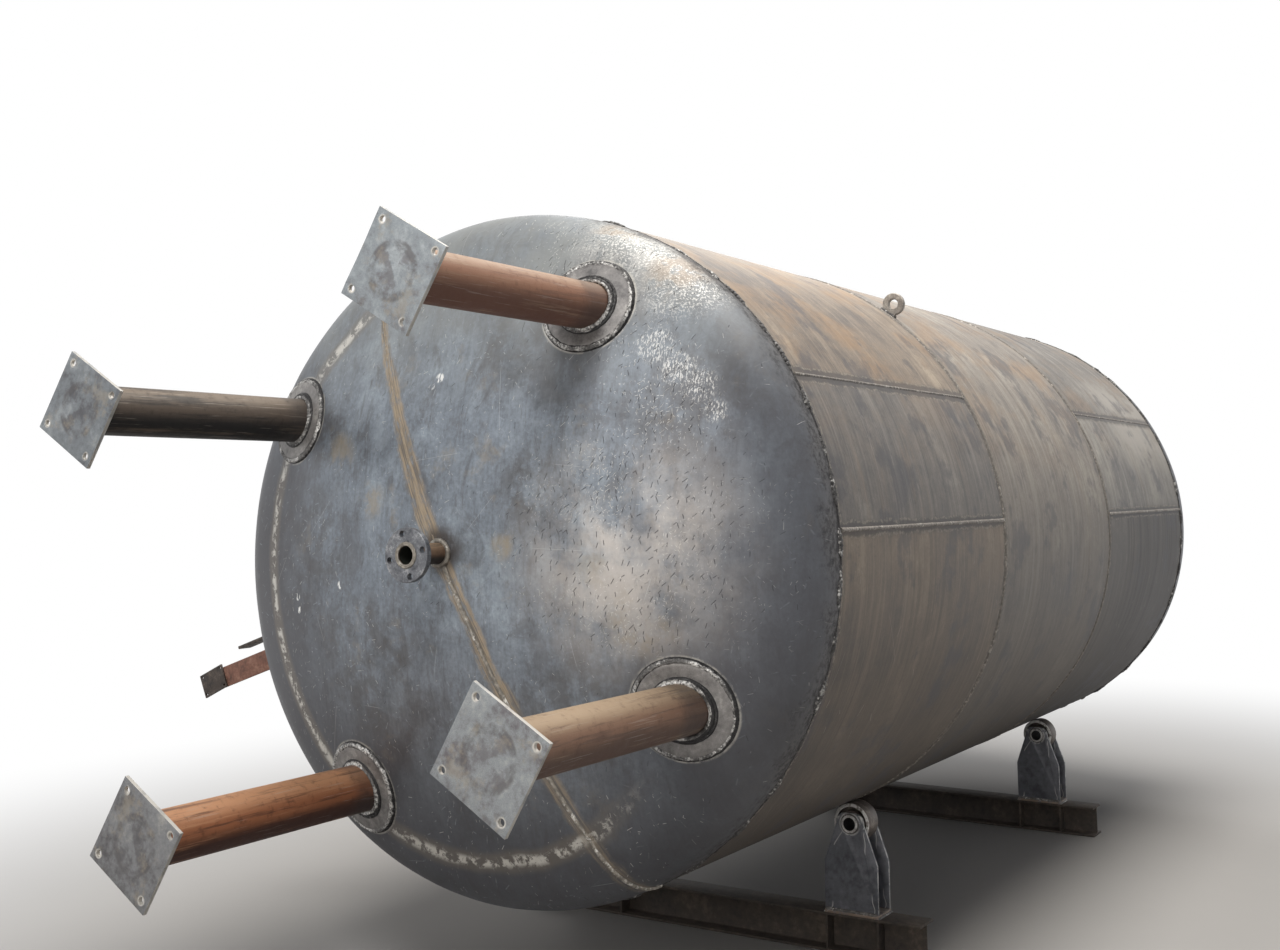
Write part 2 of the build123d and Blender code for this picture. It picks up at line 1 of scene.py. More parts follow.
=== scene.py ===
import logging
from dataclasses import dataclass, field
from enum import Enum
from math import asin, copysign, cos, degrees, pi, radians, sin, sqrt

import bpy
from mathutils import Matrix, Vector


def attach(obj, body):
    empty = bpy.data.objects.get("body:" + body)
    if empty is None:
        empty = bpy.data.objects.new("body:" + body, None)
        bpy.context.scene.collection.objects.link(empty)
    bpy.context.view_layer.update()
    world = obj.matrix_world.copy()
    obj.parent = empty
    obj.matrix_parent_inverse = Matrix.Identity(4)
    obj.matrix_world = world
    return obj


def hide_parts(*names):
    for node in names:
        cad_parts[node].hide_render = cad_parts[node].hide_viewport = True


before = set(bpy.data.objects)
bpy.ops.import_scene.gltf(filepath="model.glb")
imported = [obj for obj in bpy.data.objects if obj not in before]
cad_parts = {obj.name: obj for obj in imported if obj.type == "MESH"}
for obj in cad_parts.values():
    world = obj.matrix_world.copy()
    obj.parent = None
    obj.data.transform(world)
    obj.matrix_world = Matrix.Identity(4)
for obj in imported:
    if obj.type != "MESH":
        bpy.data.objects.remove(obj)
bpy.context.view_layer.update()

LOG = logging.getLogger("storage_tank")
BODY = "tank_on_stands"
Point = tuple[float, float, float]
Colour = tuple[float, float, float]
Spots = tuple[tuple[float, float, float], ...]
Pairs = tuple[tuple[float, float], ...]
Piece = bpy.types.Object
Material = bpy.types.Material
Socket = bpy.types.NodeSocket

AXIS_Z = 1.424785
SHELL_R = 1.05
ORIGIN: Point = (0.0, 0.0, 0.0)
AXIS_POINT: Point = (0.0, 0.0, AXIS_Z)
BOTTOM_RIM = -1.318
TOP_RIM = 3.197
HEAD_SEAM_ANGLE = 62.7
LEG_CIRCLE = 0.815
LEG_ANGLE = 29.3
NOZZLE_BORE = 0.02625
PIN_BORE = 0.021
PIN_SPREAD = 0.521327
PIN_HEIGHT = 0.436
HAIR = 0.00001
COLOUR_INPUTS = ("Light", "Middle", "Dark")


class Facing(Enum):
    """Which way an end of the tank looks along its axis."""

    LEGS = -1
    TOP = 1


# Modelling by hand: selection, profiles and finishing


def deselect() -> None:
    """Leaves edit mode and clears the selection."""
    if bpy.context.object and bpy.context.object.mode != "OBJECT":
        bpy.ops.object.mode_set(mode="OBJECT")
    bpy.ops.object.select_all(action="DESELECT")


def take(piece: Piece) -> Piece:
    """Makes a piece the only one selected, and active."""
    deselect()
    piece.select_set(True)
    bpy.context.view_layer.objects.active = piece
    return piece


def open_mesh(piece: Piece, select: str = "SELECT") -> None:
    """Enters edit mode on a piece with everything selected, or nothing."""
    take(piece)
    bpy.ops.object.mode_set(mode="EDIT")
    bpy.ops.mesh.select_all(action=select)


def close_mesh() -> Piece:
    """Leaves edit mode and returns the piece."""
    bpy.ops.object.mode_set(mode="OBJECT")
    return bpy.context.object


def name_it(name: str) -> Piece:
    """Names the active piece and its mesh."""
    piece = bpy.context.object
    piece.name = name
    piece.data.name = name
    return piece


def settle(piece: Piece) -> Piece:
    """Writes a piece's place, turn and size into its mesh."""
    take(piece)
    bpy.ops.object.transform_apply(location=True, rotation=True, scale=True)
    return piece


def modify(piece: Piece, kind: str, **settings: object) -> Piece:
    """Adds a modifier and applies it.

    Args:
        piece: The piece to change.
        kind: Blender's name of the modifier.
        **settings: Values for the modifier's own settings.

    Returns:
        The changed piece.
    """
    take(piece)
    modifier = piece.modifiers.new(kind.title(), kind)
    for key, value in settings.items():
        setattr(modifier, key, value)
    bpy.ops.object.modifier_apply(modifier=modifier.name)
    return piece


def smooth(piece: Piece, angle: float = 35.0) -> Piece:
    """Shades a piece smooth up to the given angle between faces."""
    take(piece)
    bpy.ops.object.shade_smooth_by_angle(angle=radians(angle))
    return piece


def round_edges(piece: Piece, width: float, segments: int = 2) -> Piece:
    """Rounds a piece's sharp edges and shades it smooth."""
    modify(piece, "BEVEL", width=width, segments=segments, limit_method="ANGLE", angle_limit=radians(40),
           harden_normals=False)
    return smooth(piece, 40)


def outward(piece: Piece) -> Piece:
    """Merges doubled points and turns all faces outwards."""
    open_mesh(piece)
    bpy.ops.mesh.remove_doubles(threshold=2 * HAIR)
    bpy.ops.mesh.normals_make_consistent(inside=False)
    return close_mesh()


def profile(name: str, points: list[Point]) -> Piece:
    """Draws an open line by extruding one point from place to place.

    Args:
        name: The new piece's name.
        points: The line's points in order.

    Returns:
        A piece with edges only.
    """
    deselect()
    bpy.ops.mesh.primitive_plane_add(size=0.001)
    piece = name_it(name)
    open_mesh(piece)
    bpy.ops.mesh.merge(type="CENTER")
    bpy.ops.transform.translate(value=points[0])
    for before, after in zip(points, points[1:]):
        step = Vector(after) - Vector(before)
        bpy.ops.mesh.extrude_region_move(TRANSFORM_OT_translate={"value": step})
    return close_mesh()


def spun(name: str, points: list[Point], centre: Point, steps: int, arc: float = 360.0) -> Piece:
    """Spins a line about an axis parallel to X.

    Args:
        name: The new piece's name.
        points: The line's points.
        centre: A point on the axis.
        steps: How many strips the turn gets.
        arc: The turn in degrees, from +Y towards +Z.

    Returns:
        The surface, with its faces outwards.
    """
    piece = profile(name, points)
    open_mesh(piece)
    bpy.ops.mesh.spin(steps=steps, angle=-radians(arc), center=centre, axis=(1, 0, 0))
    close_mesh()
    return outward(piece)


def around(x: float, radius: float, angle: float, centre: Point = AXIS_POINT) -> Point:
    """A point at a radius and an angle, from +Y towards +Z, round an axis parallel to X."""
    a = radians(angle)
    return (x, centre[1] + radius * cos(a), centre[2] + radius * sin(a))


def circle(x: float, radius: float, steps: int, centre: Point = AXIS_POINT) -> list[Point]:
    """Points of a closed circle round an axis parallel to X."""
    return [around(x, radius, 360.0 / steps * k, centre) for k in range(steps + 1)]


def disc(name: str, centre: Point, radius: float, depth: float, sides: int = 64) -> Piece:
    """A round bar whose axis is parallel to X, centred on a point."""
    deselect()
    bpy.ops.mesh.primitive_cylinder_add(vertices=sides, radius=radius, depth=depth, location=centre,
                                        rotation=(0, pi / 2, 0))
    return settle(name_it(name))


def block(name: str, centre: Point, size: Point, turn: float = 0.0) -> Piece:
    """A block, turned about X by an angle in degrees."""
    deselect()
    bpy.ops.mesh.primitive_cube_add(size=1.0, location=centre, rotation=(radians(turn), 0, 0))
    piece = name_it(name)
    piece.scale = size
    return settle(piece)


def cut(piece: Piece, tools: list[Piece]) -> Piece:
    """Cuts the tools out of a piece and removes them."""
    for tool in tools:
        modify(piece, "BOOLEAN", operation="DIFFERENCE", object=tool, solver="EXACT")
        bpy.data.objects.remove(tool)
    return piece


def joined(name: str, parts: list[Piece]) -> Piece:
    """Joins parts into one piece."""
    deselect()
    for part in parts:
        part.select_set(True)
    bpy.context.view_layer.objects.active = parts[0]
    if len(parts) > 1:
        bpy.ops.object.join()
    return name_it(name)


def clouded(piece: Piece, size: float, height: float, middle: float = 0.5,
            direction: str = "NORMAL") -> Piece:
    """Shifts a piece's points unevenly, for lumps, dents or a warp.

    Args:
        piece: The piece to change.
        size: How long a lump is, in metres.
        height: How far the lumps stand out.
        middle: The level of the clouds that stays in place.
        direction: The way in which the points are shifted.

    Returns:
        The changed piece.
    """
    texture = bpy.data.textures.new("clouds", "CLOUDS")
    texture.noise_scale = size
    return modify(piece, "DISPLACE", texture=texture, texture_coords="GLOBAL", direction=direction,
                  strength=height, mid_level=middle)


def lumps(piece: Piece, size: float, height: float) -> Piece:
    """Roughens a bead with uneven lumps."""
    return clouded(piece, size, height, 0.4)


def lay_on(piece: Piece, host: Piece, mode: str = "ON_SURFACE", lift: float = 0.0, group: str = "") -> Piece:
    """Lays a piece on another one along X.

    Args:
        piece: The piece to lay.
        host: The piece that it is laid on.
        mode: Blender's name of the way that it lies.
        lift: How far above the host it lies.
        group: The vertex group that is moved, or all of the piece.

    Returns:
        The laid piece.
    """
    return modify(piece, "SHRINKWRAP", target=host, wrap_method="PROJECT", use_project_x=True,
                  use_negative_direction=True, use_positive_direction=True, wrap_mode=mode, offset=lift,
                  vertex_group=group)


def bead_along(name: str, points: list[Point], radius: float, closed: bool = False, host: Piece | None = None,
               lift: float = 0.0) -> Piece:
    """Lays a round weld bead along a line of points.

    Args:
        name: The new piece's name.
        points: The line's points.
        radius: Half of the bead's width.
        closed: Whether the line closes.
        host: A piece that the line is first laid on, along X.
        lift: How far above the host the line lies.

    Returns:
        The bead with its lumps.
    """
    piece = profile(name, points)
    if closed:
        open_mesh(piece)
        bpy.ops.mesh.remove_doubles(threshold=50 * HAIR)
        close_mesh()
    if host:
        lay_on(piece, host, "ABOVE_SURFACE", lift)
    take(piece)
    bpy.ops.object.convert(target="CURVE")
    curve = bpy.context.object
    curve.data.bevel_depth = radius
    curve.data.bevel_resolution = 2
    curve.data.use_fill_caps = True
    take(curve)
    bpy.ops.object.convert(target="MESH")
    bead = name_it(name)
    lumps(bead, radius * 1.1, radius * 0.55)
    return smooth(bead, 80)


def dress(piece: Piece, finish: Material, slot: str, *instead_of: str, body: str = BODY) -> Piece:
    """Gives a piece its finish and its body.

    Args:
        piece: The finished piece.
        finish: The material.
        slot: The record's material slot; not used.
        *instead_of: The CAD nodes that it stands for.
        body: The body that it rides on.

    Returns:
        The piece.
    """
    piece.data.materials.clear()
    piece.data.materials.append(finish)
    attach(piece, body)
    if instead_of:
        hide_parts(*instead_of)
    LOG.info("%s: %d faces", piece.name, len(piece.data.polygons))
    return piece


# Nodes


class Graph:
    """Places nodes in one tree and joins them."""

    def __init__(self, tree: bpy.types.NodeTree) -> None:
        """Keeps the tree that the nodes go into."""
        self.tree = tree

    def put(self, socket: Socket, value: object) -> None:
        """Links a socket to an output, or sets its constant."""
        if isinstance(value, Socket):
            self.tree.links.new(value, socket)
        elif socket.type == "RGBA" and len(value) == 3:
            socket.default_value = (*value, 1.0)
        else:
            socket.default_value = value

    def add(self, kind: str, inputs: dict | None = None, **settings: object) -> bpy.types.Node:
        """Adds a node.

        Args:
            kind: Blender's name of the node, without its first word.
            inputs: Values or outputs for its sockets, by name or number.
            **settings: Values for its own settings.

        Returns:
            The node.
        """
        node = self.tree.nodes.new("ShaderNode" + kind)
        for key, value in settings.items():
            setattr(node, key, value)
        for key, value in (inputs or {}).items():
            self.put(node.inputs[key], value)
        return node

    def math(self, operation: str, a: object, b: object = 0.0, clamp: bool = False) -> Socket:
        """Combines two numbers."""
        node = self.add("Math", {0: a, 1: b}, operation=operation)
        node.use_clamp = clamp
        return node.outputs[0]

    def times(self, first: object, *others: object) -> Socket:
        """Multiplies numbers from left to right."""
        for other in others:
            first = self.math("MULTIPLY", first, other)
        return first

    def plus(self, a: object, b: object) -> Socket:
        """Adds two numbers."""
        return self.math("ADD", a, b)

    def minus(self, a: object, b: object) -> Socket:
        """Takes the second number from the first."""
        return self.math("SUBTRACT", a, b)

    def most(self, first: object, *others: object) -> Socket:
        """The largest of several numbers."""
        for other in others:
            first = self.math("MAXIMUM", first, other)
        return first

    def size(self, number: object) -> Socket:
        """A number without its sign."""
        return self.math("ABSOLUTE", number)

    def vector(self, operation: str, a: object, b: object = ORIGIN) -> Socket:
        """Combines two vectors."""
        return self.add("VectorMath", {0: a, 1: b}, operation=operation).outputs[0]

    def scaled(self, vector: object, factor: object) -> Socket:
        """Makes a vector longer or shorter."""
        return self.add("VectorMath", {0: vector, 3: factor}, operation="SCALE").outputs[0]

    def length(self, vector: object) -> Socket:
        """How long a vector is."""
        return self.add("VectorMath", {0: vector}, operation="LENGTH").outputs["Value"]

    def pair(self, a: object, b: object) -> Socket:
        """A flat vector of two numbers."""
        return self.add("CombineXYZ", {0: a, 1: b}).outputs[0]

    def mix(self, factor: object, a: object, b: object) -> Socket:
        """Mixes two colours."""
        node = self.add("Mix", data_type="RGBA", blend_type="MIX")
        node.clamp_factor = True
        self.put(node.inputs[0], factor)
        self.put(node.inputs[6], a)
        self.put(node.inputs[7], b)
        return node.outputs[2]

    def fade(self, value: object, low: float, high: float, to_low: float = 0.0,
             to_high: float = 1.0) -> Socket:
        """Maps a number smoothly from one range to another and keeps it there."""
        node = self.add("MapRange", {"Value": value, "From Min": low, "From Max": high, "To Min": to_low,
                                     "To Max": to_high}, interpolation_type="SMOOTHSTEP")
        return node.outputs[0]

    def noise(self, vector: object, scale: float, detail: float = 4.0, rough: float = 0.55,
              warp: float = 0.0) -> Socket:
        """Layered noise from 0 to 1."""
        node = self.add("TexNoise", {"Vector": vector, "Scale": scale, "Detail": detail, "Roughness": rough,
                                     "Distortion": warp})
        return node.outputs["Fac"]

    def placed(self, vector: object, scale: Point = (1, 1, 1), shift: Point = (0, 0, 0),
               turn: float = 0.0) -> Socket:
        """Moves, turns about X and scales coordinates."""
        node = self.add("Mapping", {"Vector": vector, "Location": shift, "Scale": scale,
                                    "Rotation": (radians(turn), 0, 0)})
        return node.outputs[0]

    def split(self, vector: object) -> tuple[Socket, ...]:
        """The three numbers of a vector."""
        return tuple(self.add("SeparateXYZ", {0: vector}).outputs)

    def use(self, group: bpy.types.NodeTree, inputs: dict) -> bpy.types.Node:
        """Places a shared group with its own values."""
        node = self.tree.nodes.new("ShaderNodeGroup")
        node.node_tree = group
        for key, value in inputs.items():
            self.put(node.inputs[key], value)
        return node


def shared(name: str, inputs: dict[str, object], outputs: dict[str, str]) -> tuple[Graph, dict, dict]:
    """Starts a shared node group.

    Args:
        name: The group's name.
        inputs: The named inputs and their first values.
        outputs: The named outputs and their kinds.

    Returns:
        The graph, the inner sockets of the inputs, and those of the outputs.
    """
    tree = bpy.data.node_groups.new(name, "ShaderNodeTree")
    for key, value in inputs.items():
        kind = "Float" if isinstance(value, float) else ("Color" if key in COLOUR_INPUTS else "Vector")
        socket = tree.interface.new_socket(key, in_out="INPUT", socket_type="NodeSocket" + kind)
        socket.default_value = (*value, 1.0) if kind == "Color" else value
    for key, kind in outputs.items():
        tree.interface.new_socket(key, in_out="OUTPUT", socket_type="NodeSocket" + kind)
    enter = tree.nodes.new("NodeGroupInput")
    leave = tree.nodes.new("NodeGroupOutput")
    return Graph(tree), dict(enter.outputs.items()), dict(leave.inputs.items())


class Effects:
    """The node groups that several finishes share."""

    def __init__(self) -> None:
        """Builds each group once."""
        self.mottle = self._mottle()
        self.marks = self._marks()
        self.ring = self._ring()
        self.bead = self._bead()

    @staticmethod
    def _mottle() -> bpy.types.NodeTree:
        """Cloudy steel in three tones with a fine grain."""
        g, i, o = shared("steel_mottle", {"Vector": ORIGIN, "Light": (0.5, 0.5, 0.5),
                                          "Middle": (0.3, 0.3, 0.3), "Dark": (0.1, 0.1, 0.1), "Scale": 3.0,
                                          "Grain": 0.15},
                         {"Color": "Color", "Cloud": "Float", "Height": "Float"})
        scaled = g.scaled(i["Vector"], i["Scale"])
        large = g.noise(scaled, 1.0, 7.0, 0.62, 0.25)
        middle = g.noise(scaled, 5.3, 6.0, 0.65)
        fine = g.noise(scaled, 42.0, 4.0, 0.7)
        cloud = g.plus(g.times(large, 0.62), g.times(middle, 0.38))
        tone = g.mix(g.fade(cloud, 0.34, 0.52), i["Dark"], i["Middle"])
        tone = g.mix(g.fade(cloud, 0.5, 0.66), tone, i["Light"])
        speck = g.times(g.minus(fine, 0.5), i["Grain"])
        bright = g.plus(1.0, g.times(speck, 4.0))
        tone = g.scaled(tone, bright)
        g.put(o["Color"], tone)
        g.put(o["Cloud"], cloud)
        g.put(o["Height"], g.plus(g.times(fine, 0.5), g.times(middle, 0.5)))
        return g.tree

    @staticmethod
    def _marks() -> bpy.types.NodeTree:
        """Short straight marks, one to a cell, each at an angle of its own."""
        g, i, o = shared("short_marks", {"Vector": ORIGIN, "Scale": 20.0, "Length": 0.4, "Width": 0.05,
                                         "Turn": 0.0, "Spread": 3.0, "Amount": 0.3}, {"Mask": "Float"})
        scaled = g.scaled(i["Vector"], i["Scale"])
        cells = g.add("TexVoronoi", {"Vector": scaled, "Scale": 1.0}, voronoi_dimensions="2D").outputs
        apart = g.vector("SUBTRACT", scaled, cells["Position"])
        chance, angle, size = g.split(cells["Color"])
        turn = g.plus(i["Turn"], g.times(g.minus(angle, 0.5), i["Spread"]))
        along, across, _ = g.split(g.add("VectorRotate", {"Vector": apart, "Angle": turn},
                                         rotation_type="Z_AXIS").outputs[0])
        reach = g.times(i["Length"], g.plus(0.35, g.times(size, 0.65)))
        ends = g.times(g.minus(reach, g.size(along)), 12.0)
        sides = g.math("DIVIDE", g.minus(i["Width"], g.size(across)), g.times(i["Width"], 0.6))
        mark = g.math("MINIMUM", ends, sides, True)
        g.put(o["Mask"], g.times(mark, g.math("LESS_THAN", chance, i["Amount"])))
        return g.tree

    @staticmethod
    def _ring() -> bpy.types.NodeTree:
        """A soft ring round a line parallel to X."""
        g, i, o = shared("ring_mark", {"Vector": ORIGIN, "Centre": ORIGIN, "Inner": 0.0, "Outer": 0.1,
                                       "Soft": 0.01}, {"Mask": "Float", "Distance": "Float"})
        apart = g.vector("SUBTRACT", i["Vector"], i["Centre"])
        flat = g.vector("MULTIPLY", apart, (0.0, 1.0, 1.0))
        away = g.length(flat)
        inside = g.math("DIVIDE", g.minus(away, i["Inner"]), i["Soft"])
        beyond = g.math("DIVIDE", g.minus(i["Outer"], away), i["Soft"])
        low = g.math("MINIMUM", inside, beyond)
        g.put(o["Mask"], g.fade(low, -0.5, 0.5))
        g.put(o["Distance"], away)
        return g.tree

    @staticmethod
    def _bead() -> bpy.types.NodeTree:
        """Ripples, slag and bright spots of a weld bead."""
        g, i, o = shared("bead_surface", {"Vector": ORIGIN, "Light": (0.6, 0.6, 0.6),
                                          "Middle": (0.3, 0.3, 0.3), "Dark": (0.05, 0.05, 0.05),
                                          "Scale": 90.0},
                         {"Color": "Color", "Height": "Float", "Bright": "Float"})
        scaled = g.scaled(i["Vector"], i["Scale"])
        cell = g.add("TexVoronoi", {"Vector": scaled, "Scale": 1.0}, feature="SMOOTH_F1").outputs["Distance"]
        rough = g.noise(scaled, 0.8, 5.0, 0.7)
        patch = g.noise(scaled, 0.12, 4.0, 0.6)
        tone = g.mix(g.times(g.fade(cell, 0.15, 0.6), 0.55), i["Middle"], i["Dark"])
        bright = g.times(g.fade(rough, 0.5, 0.64), g.fade(patch, 0.42, 0.56))
        g.put(o["Color"], g.mix(bright, tone, i["Light"]))
        g.put(o["Height"], g.minus(rough, cell))
        g.put(o["Bright"], bright)
        return g.tree


# Finishes


@dataclass(frozen=True)
class Tones:
    """Three tones of one surface."""

    light: Colour
    middle: Colour
    dark: Colour


class Skin:
    """A material while it is built up, from its first colour to its relief."""

    def __init__(self, name: str, fx: Effects | None, metallic: float, specular: float = 0.5) -> None:
        """Starts the material.

        Args:
            name: The material's name.
            fx: The shared effects, if it uses any.
            metallic: How metallic it is, all over.
            specular: Its specular level.
        """
        self.fx = fx
        self.colour: object = None
        self.material = bpy.data.materials.new(name)
        self.material.use_nodes = True
        self.g = Graph(self.material.node_tree)
        self.surface = self.material.node_tree.nodes["Principled BSDF"]
        self.surface.inputs["Metallic"].default_value = metallic
        self.surface.inputs["Specular IOR Level"].default_value = specular
        self.where = self.g.add("TexCoord").outputs["Object"]

    def mottle(self, where: object, tones: Tones, scale: float, grain: float) -> dict:
        """Starts with mottled steel.

        Args:
            where: The coordinates.
            tones: Its three tones.
            scale: How many clouds go to a metre.
            grain: How strong the fine grain is.

        Returns:
            Its outputs, Cloud and Height among them.
        """
        made = dict(self.g.use(self.fx.mottle, {"Vector": where, "Light": tones.light, "Middle": tones.middle,
                                                "Dark": tones.dark, "Scale": scale,
                                                "Grain": grain}).outputs.items())
        self.colour = made["Color"]
        return made

    def ring(self, where: object, inner: float, outer: float, soft: float, centre: Point = ORIGIN) -> Socket:
        """Masks a ring round a line parallel to X, or a round area.

        Args:
            where: The coordinates.
            inner: The ring's inner radius, or less than 0 for a round area.
            outer: Its outer radius.
            soft: How far its edges fade.
            centre: A point on the line.

        Returns:
            The mask.
        """
        return self.g.use(self.fx.ring, {"Vector": where, "Centre": centre, "Inner": inner, "Outer": outer,
                                         "Soft": soft}).outputs["Mask"]

    def spots(self, flat: object, places: Spots, soft: float) -> Socket:
        """Masks soft round areas.

        Args:
            flat: Coordinates from the tank's axis.
            places: Centre and radius of each area, seen end on.
            soft: How far each area fades, as a share of its radius.

        Returns:
            The mask.
        """
        return self.g.most(*(self.ring(flat, -9.0, radius, radius * soft, (0.0, across, up)) for across, up,
                             radius in places))

    def marks(self, flat: object, scale: float, size: tuple[float, float], turn: tuple[float, float],
              amount: object) -> Socket:
        """Masks short straight marks.

        Args:
            flat: Flat coordinates.
            scale: How many cells go to a metre.
            size: Length and width of a mark, as shares of a cell.
            turn: The middle angle and how far the angles spread.
            amount: The share of the cells that hold a mark.

        Returns:
            The mask.
        """
        return self.g.use(self.fx.marks, {"Vector": flat, "Scale": scale, "Length": size[0], "Width": size[1],
                                          "Turn": turn[0], "Spread": turn[1], "Amount": amount}).outputs[0]

    def facing(self, axis: int) -> Socket:
        """How far a face looks along an axis."""
        return self.g.split(self.g.add("TexCoord").outputs["Normal"])[axis]

    def from_pin(self) -> Socket:
        """How far a point is from the axis of the nearer pin of a stand."""
        _, across, up = self.g.split(self.where)
        return self.g.length(self.g.pair(self.g.minus(self.g.size(across), PIN_SPREAD),
                                         self.g.minus(up, PIN_HEIGHT)))

    def lay(self, colour: object, *shares: object) -> None:
        """Lays a colour over what is there, by the product of the shares."""
        self.colour = self.g.mix(self.g.times(*shares), self.colour, colour)

    def close(self, rough: object, height: object, depth: float) -> Material:
        """Ends the material.

        Args:
            rough: The roughness.
            height: The relief, from 0 to about 1.
            depth: How deep a height of 1 is, in metres.

        Returns:
            The finished material.
        """
        bump = self.g.add("Bump", {"Height": height, "Distance": depth, "Strength": 1.0})
        for name, value in (("Base Color", self.colour), ("Roughness", rough), ("Normal", bump.outputs[0])):
            self.g.put(self.surface.inputs[name], value)
        return self.material


def from_axis(g: Graph, where: object) -> Socket:
    """Coordinates measured from the tank's axis."""
    return g.placed(where, shift=(0.0, 0.0, -AXIS_Z))


def end_on(g: Graph, where: object) -> Socket:
    """The tank's end as a flat map: across, then up."""
    _, across, up = g.split(from_axis(g, where))
    return g.pair(across, up)


def unrolled(g: Graph, where: object) -> Socket:
    """The shell rolled out flat, cut open at the bottom: along, then round."""
    along, across, up = g.split(from_axis(g, where))
    turn = g.math("ARCTAN2", across, up)
    return g.pair(along, g.times(turn, SHELL_R))


@dataclass(frozen=True)
class HeadFinish:
    """Blue-grey mill scale with press marks, scratches, scorches and the brown seam band, plus painted
    highlights, painted shade and painted pipe shadows.
    """

    name: str = "head_mill_scale"
    tones: Tones = Tones((0.335, 0.385, 0.44), (0.215, 0.245, 0.285), (0.105, 0.115, 0.13))
    band: Colour = (0.42, 0.335, 0.235)
    beaten: Spots = ((-0.45, 0.86, 0.27), (-0.66, 0.45, 0.13), (-0.6, 0.06, 0.3))
    worn_rows: Spots = ((-0.617, 0.588, 0.05), (-0.69, 0.52, 0.045), (-0.752, 0.472, 0.045),
                        (-0.8, 0.4, 0.03))
    tan_spots: Spots = ((0.286, 0.149, 0.055), (0.45, 0.285, 0.06), (-0.209, 0.02, 0.035),
                        (-0.62, -0.17, 0.09))
    smudges: Spots = ((0.545, 0.348, 0.1), (0.62, -0.04, 0.26), (0.3, -0.35, 0.22), (-0.74, 0.42, 0.16),
                      (-0.2, 0.62, 0.13), (-0.42, -0.42, 0.16), (-0.3, 0.2, 0.1))

    def smoke_and_pipe_shadow(self, skin: Skin, flat: object) -> Socket:
        """Smoke round the four pads, and under each a dark run that is a painted shadow of its leg pipe."""
        g, marks = skin.g, []
        for leg in range(4):
            _, y, z = around(0.0, LEG_CIRCLE, LEG_ANGLE + 90 * leg, ORIGIN)
            # painted shadow of the leg pipe: a dark run below the pad
            pipe_shadow = g.placed(flat, (1, 1.0, 0.52), (0, -y + 0.03, -(z - 0.16) * 0.52))
            marks += [g.times(skin.ring(flat, -9.0, 0.17, 0.08, (0.0, y, z)), 0.45),
                      g.times(skin.ring(pipe_shadow, -9.0, 0.066, 0.055), 0.56)]
        return g.most(*marks)

    def build(self, fx: Effects) -> Material:
        """Builds the material.

        Args:
            fx: The shared effects.

        Returns:
            The finished material.
        """
        skin = Skin(self.name, fx, 0.42, 0.4)
        g, where = skin.g, skin.where
        flat = from_axis(g, where)
        face = end_on(g, where)
        along, across, up = g.split(flat)
        base = skin.mottle(where, self.tones, 1.9, 0.24)
        # fine brushed grain, small clouds and brown smudges of handling
        brushed = g.noise(g.placed(where, (4, 90, 11)), 1.0, 5.0, 0.7)
        skin.lay(self.tones.light, g.fade(brushed, 0.5, 0.7), 0.22)
        skin.lay(self.tones.dark, g.fade(brushed, 0.5, 0.34), 0.26)
        cloud = g.noise(g.placed(where, (1.0, 1.5, 1.0), (0.9, 0.1, 0.4)), 6.5, 9.0, 0.7, 0.5)
        skin.lay((0.115, 0.112, 0.118), g.fade(cloud, 0.5, 0.62), 0.42)
        skin.lay((0.34, 0.385, 0.43), g.fade(cloud, 0.47, 0.36), 0.3)
        drags = g.noise(g.placed(where, (1.0, 3.2, 1.1), (0.3, 0.8, 1.2)), 4.0, 8.0, 0.72, 0.9)
        skin.lay((0.095, 0.092, 0.096), g.fade(drags, 0.52, 0.66), 0.5)
        broken = g.noise(where, 13.0, 6.0, 0.7)
        brown = g.times(skin.spots(flat, self.smudges, 0.9), g.fade(broken, 0.4, 0.6))
        skin.lay((0.1, 0.092, 0.088), brown, 0.55)
        # painted highlight: a paler, warm middle; painted light above; painted shade on the left, the rim and
        # the flanks; darker low down, partly dirt and partly painted shade
        haze = g.noise(g.placed(where, shift=(0.4, 0.2, 0.9)), 3.4, 6.0, 0.65)
        # painted warm highlight in the middle
        warm = g.times(skin.spots(flat, ((-0.6, 0.0, 0.27),), 1.2), g.fade(haze, 0.34, 0.6))
        skin.lay((0.6, 0.555, 0.515), warm, 0.75)
        tan = g.noise(g.placed(where, shift=(2.0, 0.7, 0.3)), 6.0, 8.0, 0.72)
        tan = g.plus(g.fade(tan, 0.57, 0.7, 0.0, 0.6), g.times(skin.spots(flat, self.tan_spots, 0.8),
                                                               g.fade(tan, 0.42, 0.56)))
        skin.lay((0.37, 0.31, 0.225), tan, 0.55)
        # painted light: the upper part is lighter
        skin.lay((0.315, 0.325, 0.315), g.fade(up, 0.35, 0.85), g.fade(haze, 0.3, 0.62, 0.35, 0.8))
        # darker low down: partly dirt, partly painted shade
        skin.lay((0.145, 0.14, 0.14), g.fade(up, 0.1, -0.95, 0.0, 0.42))
        # painted shade on the left side
        left = g.times(g.fade(across, 0.3, 0.75), g.fade(up, 0.45, 0.15))
        skin.lay((0.085, 0.083, 0.09), left, 0.5)
        # painted shade towards the rim
        rim = skin.ring(flat, 0.84, 9.0, 0.42, (0.0, -0.1, 0.16))
        rim = g.times(rim, g.fade(g.plus(up, g.times(across, 0.5)), 0.95, 0.45, 0.15, 1.0))
        skin.lay((0.085, 0.085, 0.095), rim, 0.74)
